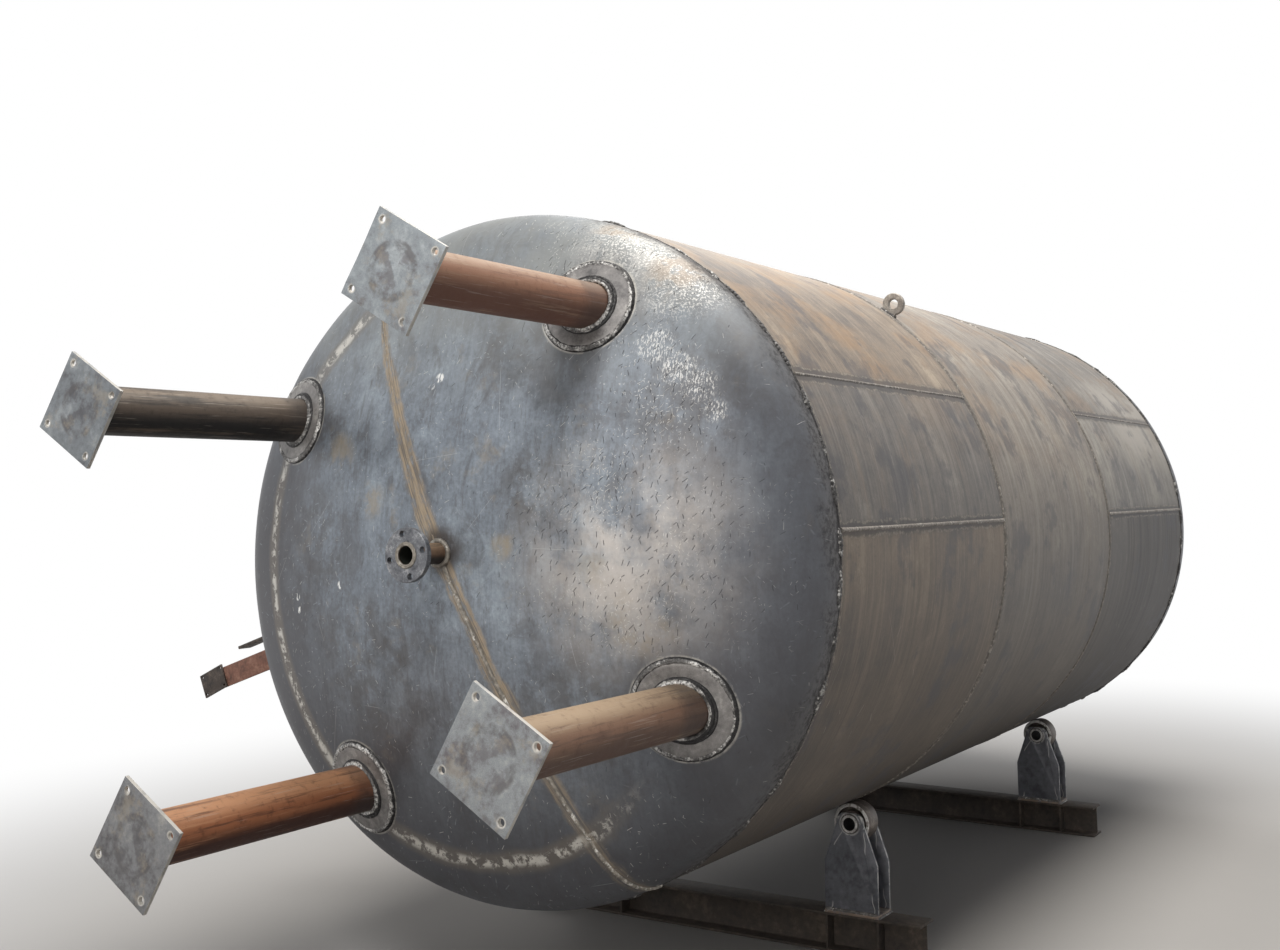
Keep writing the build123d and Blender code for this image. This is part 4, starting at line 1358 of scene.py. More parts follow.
@dataclass
class Shell:
    """Three rolled courses, each a long plate closed by a narrow strip, with their seams."""

    start: float = -1.315
    width: float = 1.501
    gap: float = 0.003
    wall: float = 0.008
    seam_angle: float = 176.0
    strip_arc: float = 25.5
    middle_turn: float = 118.0
    courses: int = 3
    pull: float = 0.0022

    def course_start(self, index: int) -> float:
        """Where a course begins along X."""
        return self.start + index * (self.width + self.gap)

    def seam(self, index: int) -> float:
        """The angle of a course's upper seam."""
        return self.seam_angle + (self.middle_turn if index % 2 else 0.0)

    def sheet(self, name: str, index: int, first: float, arc: float, steps: int) -> Piece:
        """Rolls one plate, pulled in a little at its girth edges.

        Args:
            name: The new piece's name.
            index: The course's number, from 0.
            first: The angle where the plate begins.
            arc: How many degrees it covers.
            steps: How many strips it is made of.

        Returns:
            The plate with its wall.
        """
        x0 = self.course_start(index)
        points = []
        for share in (0.0, 0.006, 0.03, 0.08, 0.2, 0.4, 0.6, 0.8, 0.92, 0.97, 0.994, 1.0):
            edge = max(0.0, 1.0 - min(share, 1.0 - share) / 0.06)
            points.append(around(x0 + share * self.width, SHELL_R - self.pull * edge, first))
        piece = spun(name, points, AXIS_POINT, steps, arc)
        modify(piece, "SOLIDIFY", thickness=self.wall, offset=-1.0)
        return smooth(piece, 40)

    def build(self, finishes: list[Material], strip_finishes: list[Material]) -> None:
        """Builds the plates and strips of all the courses."""
        half_gap = degrees(self.gap / SHELL_R) / 2
        for index in range(self.courses):
            last = self.seam(index)
            first = last - self.strip_arc
            strip = self.sheet(f"course_{index + 1}_strip_skin", index, first + half_gap,
                               self.strip_arc - 2 * half_gap, 14)
            dress(strip, strip_finishes[index], "shell_plate", f"course_{index + 1}_closing_strip")
            plate = self.sheet(f"course_{index + 1}_plate_skin", index, last + half_gap,
                               360.0 - self.strip_arc - 2 * half_gap, 180)
            dress(plate, finishes[index], "shell_plate", f"course_{index + 1}_plate")

    def lay_seams(self, finish: Material, girth: Material) -> None:
        """Lays the lengthwise beads and the girth beads, each in its own finish."""
        runs = []
        for index in range(self.courses):
            last = self.seam(index)
            x0 = self.course_start(index) + 0.012
            for angle, radius in ((last, 0.0062), (last - self.strip_arc, 0.0042)):
                count = 150
                points = [around(x0 + (self.width - 0.024) * k / count, SHELL_R - 0.0015,
                                 angle) for k in range(count + 1)]
                runs.append(bead_along("long_run", points, radius))
        dress(joined("lengthwise_seam_beads", runs), finish, "weld_metal", "lengthwise_seam_welds")
        rings = []
        for index in range(1, self.courses):
            x = self.course_start(index) - self.gap / 2
            outline = [(x - 0.0015, SHELL_R - 0.007), (x - 0.0015, SHELL_R - 0.003),
                       (x - 0.009, SHELL_R - 0.0022)]
            for turn in (-70, -40, 0, 40, 70):
                a = radians(turn)
                outline.append((x + 0.008 * sin(a), SHELL_R - 0.0025 + 0.0048 * cos(a)))
            outline += [(x + 0.009, SHELL_R - 0.0022), (x + 0.0015, SHELL_R - 0.003),
                        (x + 0.0015, SHELL_R - 0.007)]
            ring = closed_spin("girth_run", outline, AXIS_POINT, 900)
            rings.append(smooth(lumps(ring, 0.011, 0.003), 80))
        dress(joined("girth_seam_beads", rings), girth, "weld_metal", "girth_seam_welds")


@dataclass
class HeadJoints:
    """The open joints between heads and shell: a dark sunk root bridged by rough tacks."""

    lines: tuple[float, ...] = (BOTTOM_RIM + 0.0015, TOP_RIM - 0.0015)
    root_depth: float = 0.0015
    clusters: Pairs = ((121, 4.5), (128.5, 2.6), (134, 5.0), (141, 2.5), (147, 5.5), (155, 3.5), (163, 3.0),
                       (169.5, 5.5), (178, 4.0), (184.5, 6.5), (193, 3.5), (201, 6.0), (209, 3.0), (217, 5.0),
                       (226, 4.0), (236, 5.0), (249, 3.5), (263, 4.5), (280, 4.0), (297, 5.0), (315, 4.0),
                       (334, 4.5), (352, 4.0), (10, 5.0), (28, 4.0), (46, 4.5), (63, 5.0), (79, 3.5),
                       (93, 4.0), (107, 4.5))

    def tack(self, x: float, angle: float, length: float, number: int, side: float) -> Piece:
        """Lays one short, swaying bead across the joint.

        Args:
            x: Where the joint is along X.
            angle: The middle of the tack.
            length: How many degrees it covers.
            number: Its number, which sets how it sways.
            side: How far from the joint its middle lies.

        Returns:
            The tack.
        """
        count = max(4, int(length * 4))
        points = []
        for k in range(count + 1):
            share = k / count
            sway = side + 0.004 * sin(2.1 * k + number)
            points.append(around(x + sway, SHELL_R - 0.005 + 0.0035 * sin(pi * share),
                                 angle - length / 2 + length * share))
        return bead_along("tack", points, 0.0085 if number % 3 else 0.0066)

    def build(self, root: Material, metal: Material) -> None:
        """Builds both joints."""
        roots, tacks = [], []
        for x in self.lines:
            top = SHELL_R - self.root_depth
            outline = [(x - 0.0015, top - 0.006), (x - 0.008, top - 0.001), (x - 0.0045, top + 0.0018),
                       (x - 0.001, top - 0.001), (x + 0.002, top - 0.001), (x + 0.005, top + 0.0018),
                       (x + 0.008, top - 0.001), (x + 0.0015, top - 0.006)]
            ring = lumps(closed_spin("root_ring", outline, AXIS_POINT, 900), 0.012, 0.0045)
            roots.append(smooth(ring, 60))
            for number, (angle, length) in enumerate(self.clusters):
                tacks.append(self.tack(x, angle, length, number, 0.0))
                if number % 2:
                    tacks.append(self.tack(x, angle + 0.8, length * 0.5, number + 5, -0.009))
        dress(joined("head_joint_root", roots), root, "weld_metal")
        dress(joined("head_joint_tacks", tacks), metal, "weld_metal", "head_joint_welds")


@dataclass
class Leg:
    """One leg: pad on the head, pipe and drilled base plate."""

    name: str
    angle: float
    circle: float = LEG_CIRCLE
    plate_face: float = -2.497
    plate_side: float = 0.24
    plate_thickness: float = 0.012
    hole_spacing: float = 0.19
    hole_radius: float = 0.009
    pipe_radius: float = 0.06985
    pipe_wall: float = 0.0063
    pad_radius: float = 0.125
    pad_thickness: float = 0.01
    warp: float = 0.0
    warp_length: float = 0.13

    def centre(self, x: float) -> Point:
        """A point on the leg's axis."""
        return around(x, self.circle, self.angle)

    def pad(self, host: Piece) -> Piece:
        """Cuts the round pad and lays it on the head."""
        mid = self.centre(-2.1)
        radii = (self.pipe_radius - 0.01, 0.07, 0.085, 0.1, 0.115, self.pad_radius)
        points = [(mid[0], mid[1] + r, mid[2]) for r in radii]
        piece = spun("leg_pad", points, mid, 72)
        outward(lay_on(piece, host))
        facing = sum((face.normal.x for face in piece.data.polygons), 0.0)
        modify(piece, "SOLIDIFY", thickness=self.pad_thickness, offset=1.0 if facing < 0 else -1.0)
        return round_edges(piece, 0.0016)

    def beads(self, host: Piece) -> list[Piece]:
        """Lays the beads round the pad and round both ends of the pipe."""
        made = []
        for radius, lift, size in ((self.pad_radius + 0.004, 0.003, 0.0088),
                                   (self.pad_radius + 0.011, 0.0, 0.0036),
                                   (self.pipe_radius + 0.004, 0.012, 0.009),
                                   (self.pipe_radius + 0.014, 0.01, 0.0058)):
            ring = circle(-2.1, radius, 72, self.centre(0.0))
            made.append(bead_along("leg_bead", ring, size, True, host, lift))
        back = self.plate_face + self.plate_thickness
        ring = circle(back + 0.002, self.pipe_radius + 0.002, 72, self.centre(0.0))
        made.append(bead_along("plate_bead", ring, 0.0058, True))
        return made

    def pipe(self, finish: Material, host: Piece) -> None:
        """Cuts the pipe, from the plate's back down to the head's own surface."""
        r, inner = self.pipe_radius, self.pipe_radius - self.pipe_wall
        x0, x1 = self.plate_face + self.plate_thickness, -1.72
        outline = [(x0, inner), (x0, r), (x0 + 0.01, r), ((x0 + x1) / 2, r + 0.0002), (x1, r), (x1, inner)]
        piece = closed_spin(f"leg_pipe_{self.name}_skin", outline, self.centre(0.0), 72)
        foot = piece.vertex_groups.new(name="foot")
        foot.add([vertex.index for vertex in piece.data.vertices if vertex.co.x > x1 - 0.005], 1.0, "REPLACE")
        lay_on(piece, host, group=foot.name)
        piece.vertex_groups.clear()
        dress(smooth(piece, 40), finish, "leg_pipes", f"leg_pipe_{self.name}")

    def base(self, finish: Material) -> None:
        """Cuts, drills and deburrs the base plate."""
        mid = self.centre(self.plate_face + self.plate_thickness / 2)
        piece = block(f"base_plate_{self.name}_skin", mid,
                      (self.plate_thickness, self.plate_side, self.plate_side), self.angle)
        open_mesh(piece)
        bpy.ops.mesh.subdivide(number_cuts=7)
        close_mesh()
        drills = []
        reach = self.hole_spacing / sqrt(2)
        for corner in range(4):
            at = around(mid[0], reach, self.angle + 45 + 90 * corner, mid)
            drills.append(disc("drill", at, self.hole_radius, 0.05, 28))
        cut(piece, drills)
        modify(piece, "BEVEL", width=0.0013, segments=2, limit_method="ANGLE", angle_limit=radians(50))
        if self.warp:
            clouded(piece, self.warp_length, self.warp, direction="X")
        dress(smooth(piece, 40), finish, "base_plates", f"base_plate_{self.name}")


@dataclass
class Nozzle:
    """A flanged nozzle on the tank's axis."""

    name: str
    facing: Facing
    rim: float
    depth: float = 0.46063
    reach: float = 0.15
    neck_radius: float = 0.03015
    bore_radius: float = NOZZLE_BORE
    flange_radius: float = 0.0762
    flange_thickness: float = 0.019
    bolt_circle: float = 0.1207
    hole_radius: float = 0.0095
    hole_turn: float = 74.3

    def build(self, steel: Material, neck_finish: Material, metal: Material, host: Piece) -> None:
        """Turns the neck and the flange and lays their beads.

        Args:
            steel: The flange's finish.
            neck_finish: The neck's finish.
            metal: The beads' finish.
            host: The head's skin.
        """
        out = self.facing.value
        face = self.rim + out * (self.depth + self.reach)
        inside = self.rim + out * (self.depth - 0.016)
        r, b = self.neck_radius, self.bore_radius
        outline = [(inside, b), (inside, r), (face - out * 0.005, r), (face - out * 0.005, b)]
        neck = closed_spin(f"{self.name}_neck_skin", outline, AXIS_POINT, 48)
        dress(smooth(neck, 40), neck_finish, "nozzle_steel", f"{self.name}_nozzle_neck")
        back = face - out * self.flange_thickness
        outline = ring_outline(face, back, r, self.flange_radius, 0.0012)
        flange = closed_spin(f"{self.name}_flange_skin", outline, AXIS_POINT, 96)
        drills = [disc("drill", around(face, self.bolt_circle / 2, self.hole_turn + 90 * k), self.hole_radius,
                       0.08, 28) for k in range(4)]
        cut(flange, drills)
        dress(smooth(flange, 40), steel, "nozzle_steel", f"{self.name}_nozzle_flange")
        beads = []
        for x, radius, size in ((face + out * 0.0004, 0.0335, 0.0038), (face + out * 0.0008, 0.0292, 0.0034),
                                (back - out * 0.001, 0.0325, 0.0045)):
            beads.append(bead_along("nozzle_bead", circle(x, radius, 48), size, True))
        beads.append(bead_along("root_bead", circle(face, 0.0345, 48), 0.0078, True, host, 0.003))
        dress(joined(f"{self.name}_nozzle_beads", beads), metal, "nozzle_steel")


@dataclass
class Manhole:
    """The manhole in the top head: neck, flange, bolted cover and its bolts."""

    circle: float = 0.52
    angle: float = -15.7
    face: float = 3.7676
    radius: float = 0.254
    wall: float = 0.008
    flange_radius: float = 0.33
    flange_thickness: float = 0.02
    cover_thickness: float = 0.018
    bolt_circle: float = 0.6
    bolts: int = 20

    def centre(self, x: float) -> Point:
        """A point on the manhole's axis."""
        return around(x, self.circle, self.angle)

    def build(self, steel: Material, bolt_steel: Material, metal: Material, host: Piece) -> None:
        """Builds the manhole's pieces.

        Args:
            steel: The finish of neck, flange and cover.
            bolt_steel: The bolts' finish.
            metal: The beads' finish.
            host: The top head's skin.
        """
        mid = self.centre(0.0)
        r = self.radius
        neck = closed_spin("manhole_neck_skin", [(3.495, r - self.wall), (3.495, r), (self.face, r),
                                                 (self.face, r - self.wall)], mid, 96)
        dress(smooth(neck, 40), steel, "manhole_steel", "manhole_neck")
        edge, fr = 0.0015, self.flange_radius
        back = self.face - self.flange_thickness
        outline = ring_outline(self.face, back, r, fr, edge)
        flange = closed_spin("manhole_flange_skin", outline, mid, 128)
        dress(smooth(flange, 40), steel, "manhole_steel", "manhole_flange")
        front = self.face + self.cover_thickness
        outline = ring_outline(self.face + 0.001, front, 0.0, fr, edge)
        cover = spun("manhole_cover_skin", [(x, mid[1] + q, mid[2]) for x, q in outline], mid, 128)
        dress(smooth(cover, 40), steel, "manhole_steel", "manhole_cover")
        first = around(front + 0.006, self.bolt_circle / 2, self.angle, mid)
        deselect()
        bpy.ops.mesh.primitive_cylinder_add(vertices=6, radius=0.0155, depth=0.012, location=first,
                                            rotation=(0, pi / 2, 0))
        nut = round_edges(settle(name_it("nut")), 0.0012)
        stud = disc("stud", (back - 0.002, first[1], first[2]), 0.009, 2 * (front - back) - 0.02, 20)
        tail = disc("tail", (back - 0.007, first[1], first[2]), 0.0155, 0.012, 6)
        bolt = joined("manhole_bolt", [nut, round_edges(stud, 0.001), round_edges(tail, 0.0012)])
        bolts = [bolt]
        for k in range(1, self.bolts):
            other = bolt.copy()
            other.data = bolt.data.copy()
            bpy.context.scene.collection.objects.link(other)
            turn = Matrix.Translation(mid) @ Matrix.Rotation(2 * pi * k / self.bolts, 4, "X")
            other.data.transform(turn @ Matrix.Translation(-Vector(mid)))
            bolts.append(other)
        dress(joined("manhole_bolts", bolts), bolt_steel, "manhole_steel")
        rings = [bead_along("neck_bead", circle(3.9, r + 0.003, 120, mid), 0.0075, True, host, 0.003),
                 bead_along("flange_bead", circle(back - 0.001, r + 0.003, 120, mid), 0.0058, True)]
        dress(joined("manhole_beads", rings), metal, "manhole_steel")


@dataclass
class LiftingEyes:
    """Two thick rings welded to the shell opposite each other."""

    x: float = 0.226
    angle: float = 125.5
    radius: float = 0.043
    hole: float = 0.019
    thickness: float = 0.02
    standoff: float = 0.04

    def build(self, steel: Material, metal: Material) -> None:
        """Builds both eyes and their beads."""
        parts, beads = [], []
        for angle in (self.angle, self.angle + 180.0):
            mid = around(self.x, SHELL_R + self.standoff, angle)
            e, h = 0.003, self.thickness / 2
            ring = closed_spin("eye", [(self.x - h, self.hole + e), (self.x - h, self.radius - e),
                                       (self.x - h + e, self.radius), (self.x + h - e, self.radius),
                                       (self.x + h, self.radius - e), (self.x + h, self.hole + e),
                                       (self.x + h - e, self.hole), (self.x - h + e, self.hole)], mid, 48)
            foot = block("eye_foot", around(self.x, SHELL_R + 0.008, angle),
                         (self.thickness - 0.001, 0.022, 0.06), angle)
            parts += [smooth(ring, 40), round_edges(foot, 0.002)]
            for side in (-1, 1):
                points = [around(self.x + side * (h + 0.001), SHELL_R + 0.001,
                                 angle + t * 0.34) for t in range(-5, 6)]
                beads.append(bead_along("eye_bead", points, 0.0048))
        dress(joined("lifting_eyes_skin", parts), steel, "lifting_eyes", "lifting_eyes")
        dress(joined("lifting_eye_beads", beads), metal, "lifting_eyes")


@dataclass
class SideCleat:
    """The flat arm near the bottom head with its drilled end plate and the fin above it."""

    x: float = -1.255
    angle: float = -19.7
    reach: float = 0.42
    width: float = 0.07
    thickness: float = 0.01
    plate: tuple[float, float] = (0.113, 0.082)
    plate_turn: float = -6.0
    fin_reach: float = 0.308
    fin_clear: float = 0.043

    def build(self, rust: Material, dark: Material, metal: Material) -> None:
        """Builds the arm, the plate and the fin."""
        sink = 0.004
        mid = around(self.x + self.thickness / 2, SHELL_R + (self.reach - sink) / 2, self.angle)
        arm = block("side_cleat_arm_skin", mid, (self.thickness, self.reach + sink, self.width), self.angle)
        dress(round_edges(arm, 0.0012), rust, "cleat_steel", "side_cleat_arm")
        at = around(self.x - 0.004, SHELL_R + self.reach - 0.025 + self.plate[0] / 2, self.angle)
        turn = self.angle + self.plate_turn
        plate = block("side_cleat_plate_skin", at, (0.008, *self.plate), turn)
        drills = []
        for u in (-1, 1):
            for v in (-1, 1):
                du, dv = u * (self.plate[0] / 2 - 0.01), v * (self.plate[1] / 2 - 0.01)
                a = radians(turn)
                drills.append(disc("drill",
                                   (at[0], at[1] + du * cos(a) - dv * sin(a),
                                    at[2] + du * sin(a) + dv * cos(a)), 0.0045, 0.03, 20))
        cut(plate, drills)
        dress(round_edges(plate, 0.001), dark, "cleat_steel", "side_cleat_plate")
        a = radians(self.angle)
        lift = self.width / 2 + self.fin_clear
        inner = sqrt(SHELL_R ** 2 - lift ** 2) - sink
        length = SHELL_R + self.fin_reach - inner
        radial = inner + length / 2
        centre = (self.x + 0.03, radial * cos(a) - lift * sin(a), AXIS_Z + radial * sin(a) + lift * cos(a))
        fin = block("side_cleat_fin_skin", centre, (0.06, length, 0.01), self.angle)
        dress(round_edges(fin, 0.0012), dark, "cleat_steel", "side_cleat_fin")
        beads = []
        for x in (self.x - 0.001, self.x + self.thickness + 0.001):
            beads.append(bead_along("cleat_bead",
                                    [around(x, SHELL_R + 0.001, self.angle + t * 0.38) for t in range(-5, 6)],
                                    0.0045))
        dress(joined("side_cleat_beads", beads), metal, "cleat_steel")


@dataclass
class RollerStand:
    """A beam across the tank with two forked brackets, each with a roller on a hollow pin."""

    name: str
    x: float
    beam_length: float = 1.55
    beam_width: float = 0.125
    beam_height: float = 0.13
    flange: float = 0.009
    web: float = 0.007
    bracket_width: float = 0.2
    foot: float = 0.012
    plate: float = 0.01
    gap: float = 0.095
    shoulder: float = 0.174
    neck: float = 0.104
    above_pin: float = 0.036
    corner: float = 0.03
    pin_rise: float = 0.306
    pin_radius: float = 0.03015
    pin_bore: float = PIN_BORE
    pin_end: float = 0.006
    roller_radius: float = 0.0675
    roller_width: float = 0.085
    hub_radius: float = 0.043
    bore_radius: float = 0.03045
    spread: float = PIN_SPREAD
    sides: tuple[tuple[str, int], ...] = (("right", -1), ("left", 1))

    def beam(self, finish: Material) -> None:
        """Rolls the beam and welds in its stiffeners."""
        w, h, f, t = self.beam_width / 2, self.beam_height, self.flange, self.web / 2
        r = 0.006
        half = [(w, 0.0), (w, f), (t + r, f), (t + r * 0.3, f + r * 0.3), (t, f + r), (t, h - f - r),
                (t + r * 0.3, h - f - r * 0.3), (t + r, h - f), (w, h - f), (w, h)]
        outline = half + [(-x, z) for x, z in reversed(half)]
        points = [(self.x + x, -self.beam_length / 2, z) for x, z in outline]
        parts = [round_edges(plate_from_outline("beam", points, (0.0, self.beam_length, 0.0)), 0.0012)]
        for _, sign in self.sides:
            for edge in (-1, 1):
                y = sign * self.spread + edge * (self.bracket_width - 0.008) / 2
                for face in (-1, 1):
                    depth = w - t - 0.003
                    parts.append(round_edges(block("stiffener", (self.x + face * (t + depth / 2), y, h / 2),
                                                   (depth, 0.008, h - 2 * f)), 0.001))
        dress(joined(f"{self.name}_beam_skin", parts), finish, "stand_beams", f"{self.name}_stand_beam")

    def outline(self, sign: int, x: float) -> list[Point]:
        """Corners of one fork plate, with its rounded top."""
        y0, z0 = sign * self.spread, self.beam_height
        b, n, c = self.bracket_width / 2, self.neck / 2, self.corner
        pin, top = z0 + self.pin_rise, z0 + self.pin_rise + self.above_pin
        right = [(b, z0 + self.foot), (b, z0 + self.shoulder), (n, pin), (n, top - c)]
        right += [(n - c + c * cos(radians(a)), top - c + c * sin(radians(a))) for a in range(15, 91, 15)]
        left = [(-y, z) for y, z in reversed(right)]
        return [(x, y0 + y, z) for y, z in right + left]

    def brackets(self, finish: Material, metal: Material) -> None:
        """Cuts the forks, drills them for the pins and welds them to the beam."""
        beads = []
        for side, sign in self.sides:
            parts = []
            for face in (-1, 1):
                x = self.x + face * self.gap / 2
                fork = plate_from_outline("fork", self.outline(sign, x), (face * self.plate, 0.0, 0.0))
                centre = (self.x, sign * self.spread, self.beam_height + self.pin_rise)
                cut(fork, [disc("drill", centre, self.pin_radius, 0.4, 48)])
                parts.append(round_edges(fork, 0.0014))
                outer = x + face * (self.plate + 0.001)
                y0 = sign * self.spread
                points = [(outer, y0 - 0.095 + 0.19 * k / 30,
                           self.beam_height + self.foot + 0.001) for k in range(31)]
                beads.append(bead_along("foot_bead", points, 0.0055))
                ring = circle(outer, self.pin_radius + 0.001, 48, centre)
                beads.append(bead_along("pin_bead", ring, 0.0034, True))
            foot = block("foot", (self.x, sign * self.spread, self.beam_height + self.foot / 2),
                         (self.beam_width, self.bracket_width, self.foot))
            parts.append(round_edges(foot, 0.0014))
            for edge in (-1, 1):
                y = sign * self.spread + edge * (self.bracket_width / 2 + 0.001)
                points = [(self.x - 0.06 + 0.12 * k / 20, y, self.beam_height + 0.001) for k in range(21)]
                beads.append(bead_along("beam_bead", points, 0.0045))
            dress(joined(f"{self.name}_bracket_{side}_skin", parts), finish, "stand_brackets",
                  f"{self.name}_stand_bracket_{side}")
        dress(joined(f"{self.name}_stand_beads", beads), metal, "stand_brackets")

    def pins(self, finish: Material) -> None:
        """Cuts the two hollow pins."""
        parts = []
        reach = self.gap / 2 + self.plate + self.pin_end
        for _, sign in self.sides:
            centre = (self.x, sign * self.spread, self.beam_height + self.pin_rise)
            outline = ring_outline(self.x - reach, self.x + reach, self.pin_bore, self.pin_radius, 0.0012)
            parts.append(smooth(closed_spin("pin", outline, centre, 48), 40))
        dress(joined(f"{self.name}_pins_skin", parts), finish, "stand_pins", f"{self.name}_stand_pins")

    def rollers(self, finish: Material) -> None:
        """Turns the two rollers with their hubs and rims."""
        for side, sign in self.sides:
            centre = (self.x, sign * self.spread, self.beam_height + self.pin_rise)
            w, hub, web, rim = self.roller_width / 2, self.gap / 2 - 0.0003, 0.015, self.roller_radius - 0.012
            r, h, b, e = self.roller_radius, self.hub_radius, self.bore_radius, 0.003
            half = [(hub, b), (hub, h - 0.001), (hub - 0.001, h), (web, h), (web, rim), (w, rim), (w, r - e),
                    (w - e * 0.3, r - e * 0.3), (w - e, r)]
            outline = [(self.x + x, q) for x, q in half] + [(self.x - x, q) for x, q in reversed(half)]
            roller = closed_spin(f"{self.name}_roller_{side}_skin", outline, centre, 72)
            dress(smooth(roller, 35), finish, "rollers", f"{self.name}_roller_{side}",
                  body=f"{self.name}_roller_{side}")


@dataclass
class Studio:
    """Floor, backdrop, lamps and camera."""

    eye: Point = (-5.3357, -2.7757, 1.6268)
    forward: Point = (0.8384, 0.5178, 0.1702)
    right: Point = (0.525, -0.8511, 0.003)
    up: Point = (-0.1464, -0.0868, 0.9854)
    focal: float = 1518.8
    centre: tuple[float, float] = (610.59, 220.45)
    frame_size: tuple[float, float] = (1280.0, 950.0)
    lamps: list[tuple[str, Point, Point, float, float, Colour]] = field(default_factory=lambda: [
        ("key", (-6.2, -0.85, 5.9), (-1.6, -0.5, 1.9), 2.0, 175.0, (1.0, 0.985, 0.96)),
        ("door", (-9.0, -1.6, 2.2), (-1.8, -0.4, 1.5), 2.6, 125.0, (1.0, 0.94, 0.86)),
        ("roof", (1.0, -1.3, 8.0), (0.8, -0.2, 1.6), 4.0, 500.0, (1.0, 0.96, 0.9)),
        ("side", (-4.0, 6.5, 3.0), (-0.6, 0.4, 1.2), 3.0, 15.0, (0.93, 0.97, 1.0)),
        ("back", (6.5, 3.0, 6.0), (2.5, 0.0, 1.2), 4.0, 110.0, (1.0, 0.98, 0.95)),
    ])

    def place_camera(self) -> None:
        """Sets up the camera where the photograph was taken."""
        data = bpy.data.cameras.new("photo_camera")
        camera = bpy.data.objects.new("photo_camera", data)
        bpy.context.scene.collection.objects.link(camera)
        axes = Matrix((self.right, self.up, tuple(-c for c in self.forward))).transposed()
        camera.matrix_world = Matrix.Translation(self.eye) @ axes.to_4x4()
        width, height = self.frame_size
        data.sensor_fit = "HORIZONTAL"
        data.sensor_width = 36.0
        data.lens = self.focal / width * data.sensor_width
        data.shift_x = (width / 2 - self.centre[0]) / width
        data.shift_y = (self.centre[1] - height / 2) / width
        data.clip_end = 200.0
        bpy.context.scene.camera = camera

    def seen(self, g: Graph) -> Socket:
        """1 on the rays that show the backdrop: to the camera, and mirrored or seen through something."""
        path = g.add("LightPath").outputs
        mirrored = g.most(path["Is Glossy Ray"], path["Is Transmission Ray"])
        return g.most(path["Is Camera Ray"], mirrored)

    def place_lamps(self) -> None:
        """Hangs the soft lamps and lights the world evenly."""
        for name, place, target, size, power, tint in self.lamps:
            data = bpy.data.lights.new(name, "AREA")
            data.shape, data.size, data.energy, data.color = "DISK", size, power, tint
            lamp = bpy.data.objects.new(name, data)
            lamp.location = place
            lamp.rotation_euler = (Vector(target) - Vector(place)).to_track_quat("-Z", "Y").to_euler()
            bpy.context.scene.collection.objects.link(lamp)
        world = bpy.data.worlds.new("soft_world")
        bpy.context.scene.world = world
        world.use_nodes = True
        g = Graph(world.node_tree)
        seen = self.seen(g)
        sky = world.node_tree.nodes["Background"]
        g.put(sky.inputs["Color"], g.mix(seen, (0.95, 0.96, 1.0), (1.0, 1.0, 1.0)))
        g.put(sky.inputs["Strength"], g.fade(seen, 0.0, 1.0, 0.13, 1.0))

    def place_floor(self) -> None:
        """Lays the plain pale floor, which turns white with distance like the backdrop."""
        deselect()
        bpy.ops.mesh.primitive_plane_add(size=120.0, location=(4.0, 3.0, -0.0005))
        floor = name_it("floor")
        settle(floor)
        skin = Skin("pale_floor", None, 0.0, 0.2)
        g, where, surface = skin.g, skin.where, skin.surface
        cloud = g.noise(where, 0.9, 4.0, 0.6)
        g.put(surface.inputs["Base Color"], g.mix(cloud, (0.45, 0.44, 0.43), (0.49, 0.48, 0.47)))
        surface.inputs["Roughness"].default_value = 0.8
        away = g.length(g.placed(where, (0.62, 1.0, 0.0), (-0.4, 0.0, 0.0)))
        far = g.times(g.fade(away, 1.6, 5.0), self.seen(g))
        white = g.add("Emission", {"Color": (1.0, 1.0, 1.0), "Strength": 1.0})
        both = g.add("MixShader", {0: far, 1: surface.outputs[0], 2: white.outputs[0]})
        g.put(skin.material.node_tree.nodes["Material Output"].inputs["Surface"], both.outputs[0])
        floor.data.materials.append(skin.material)


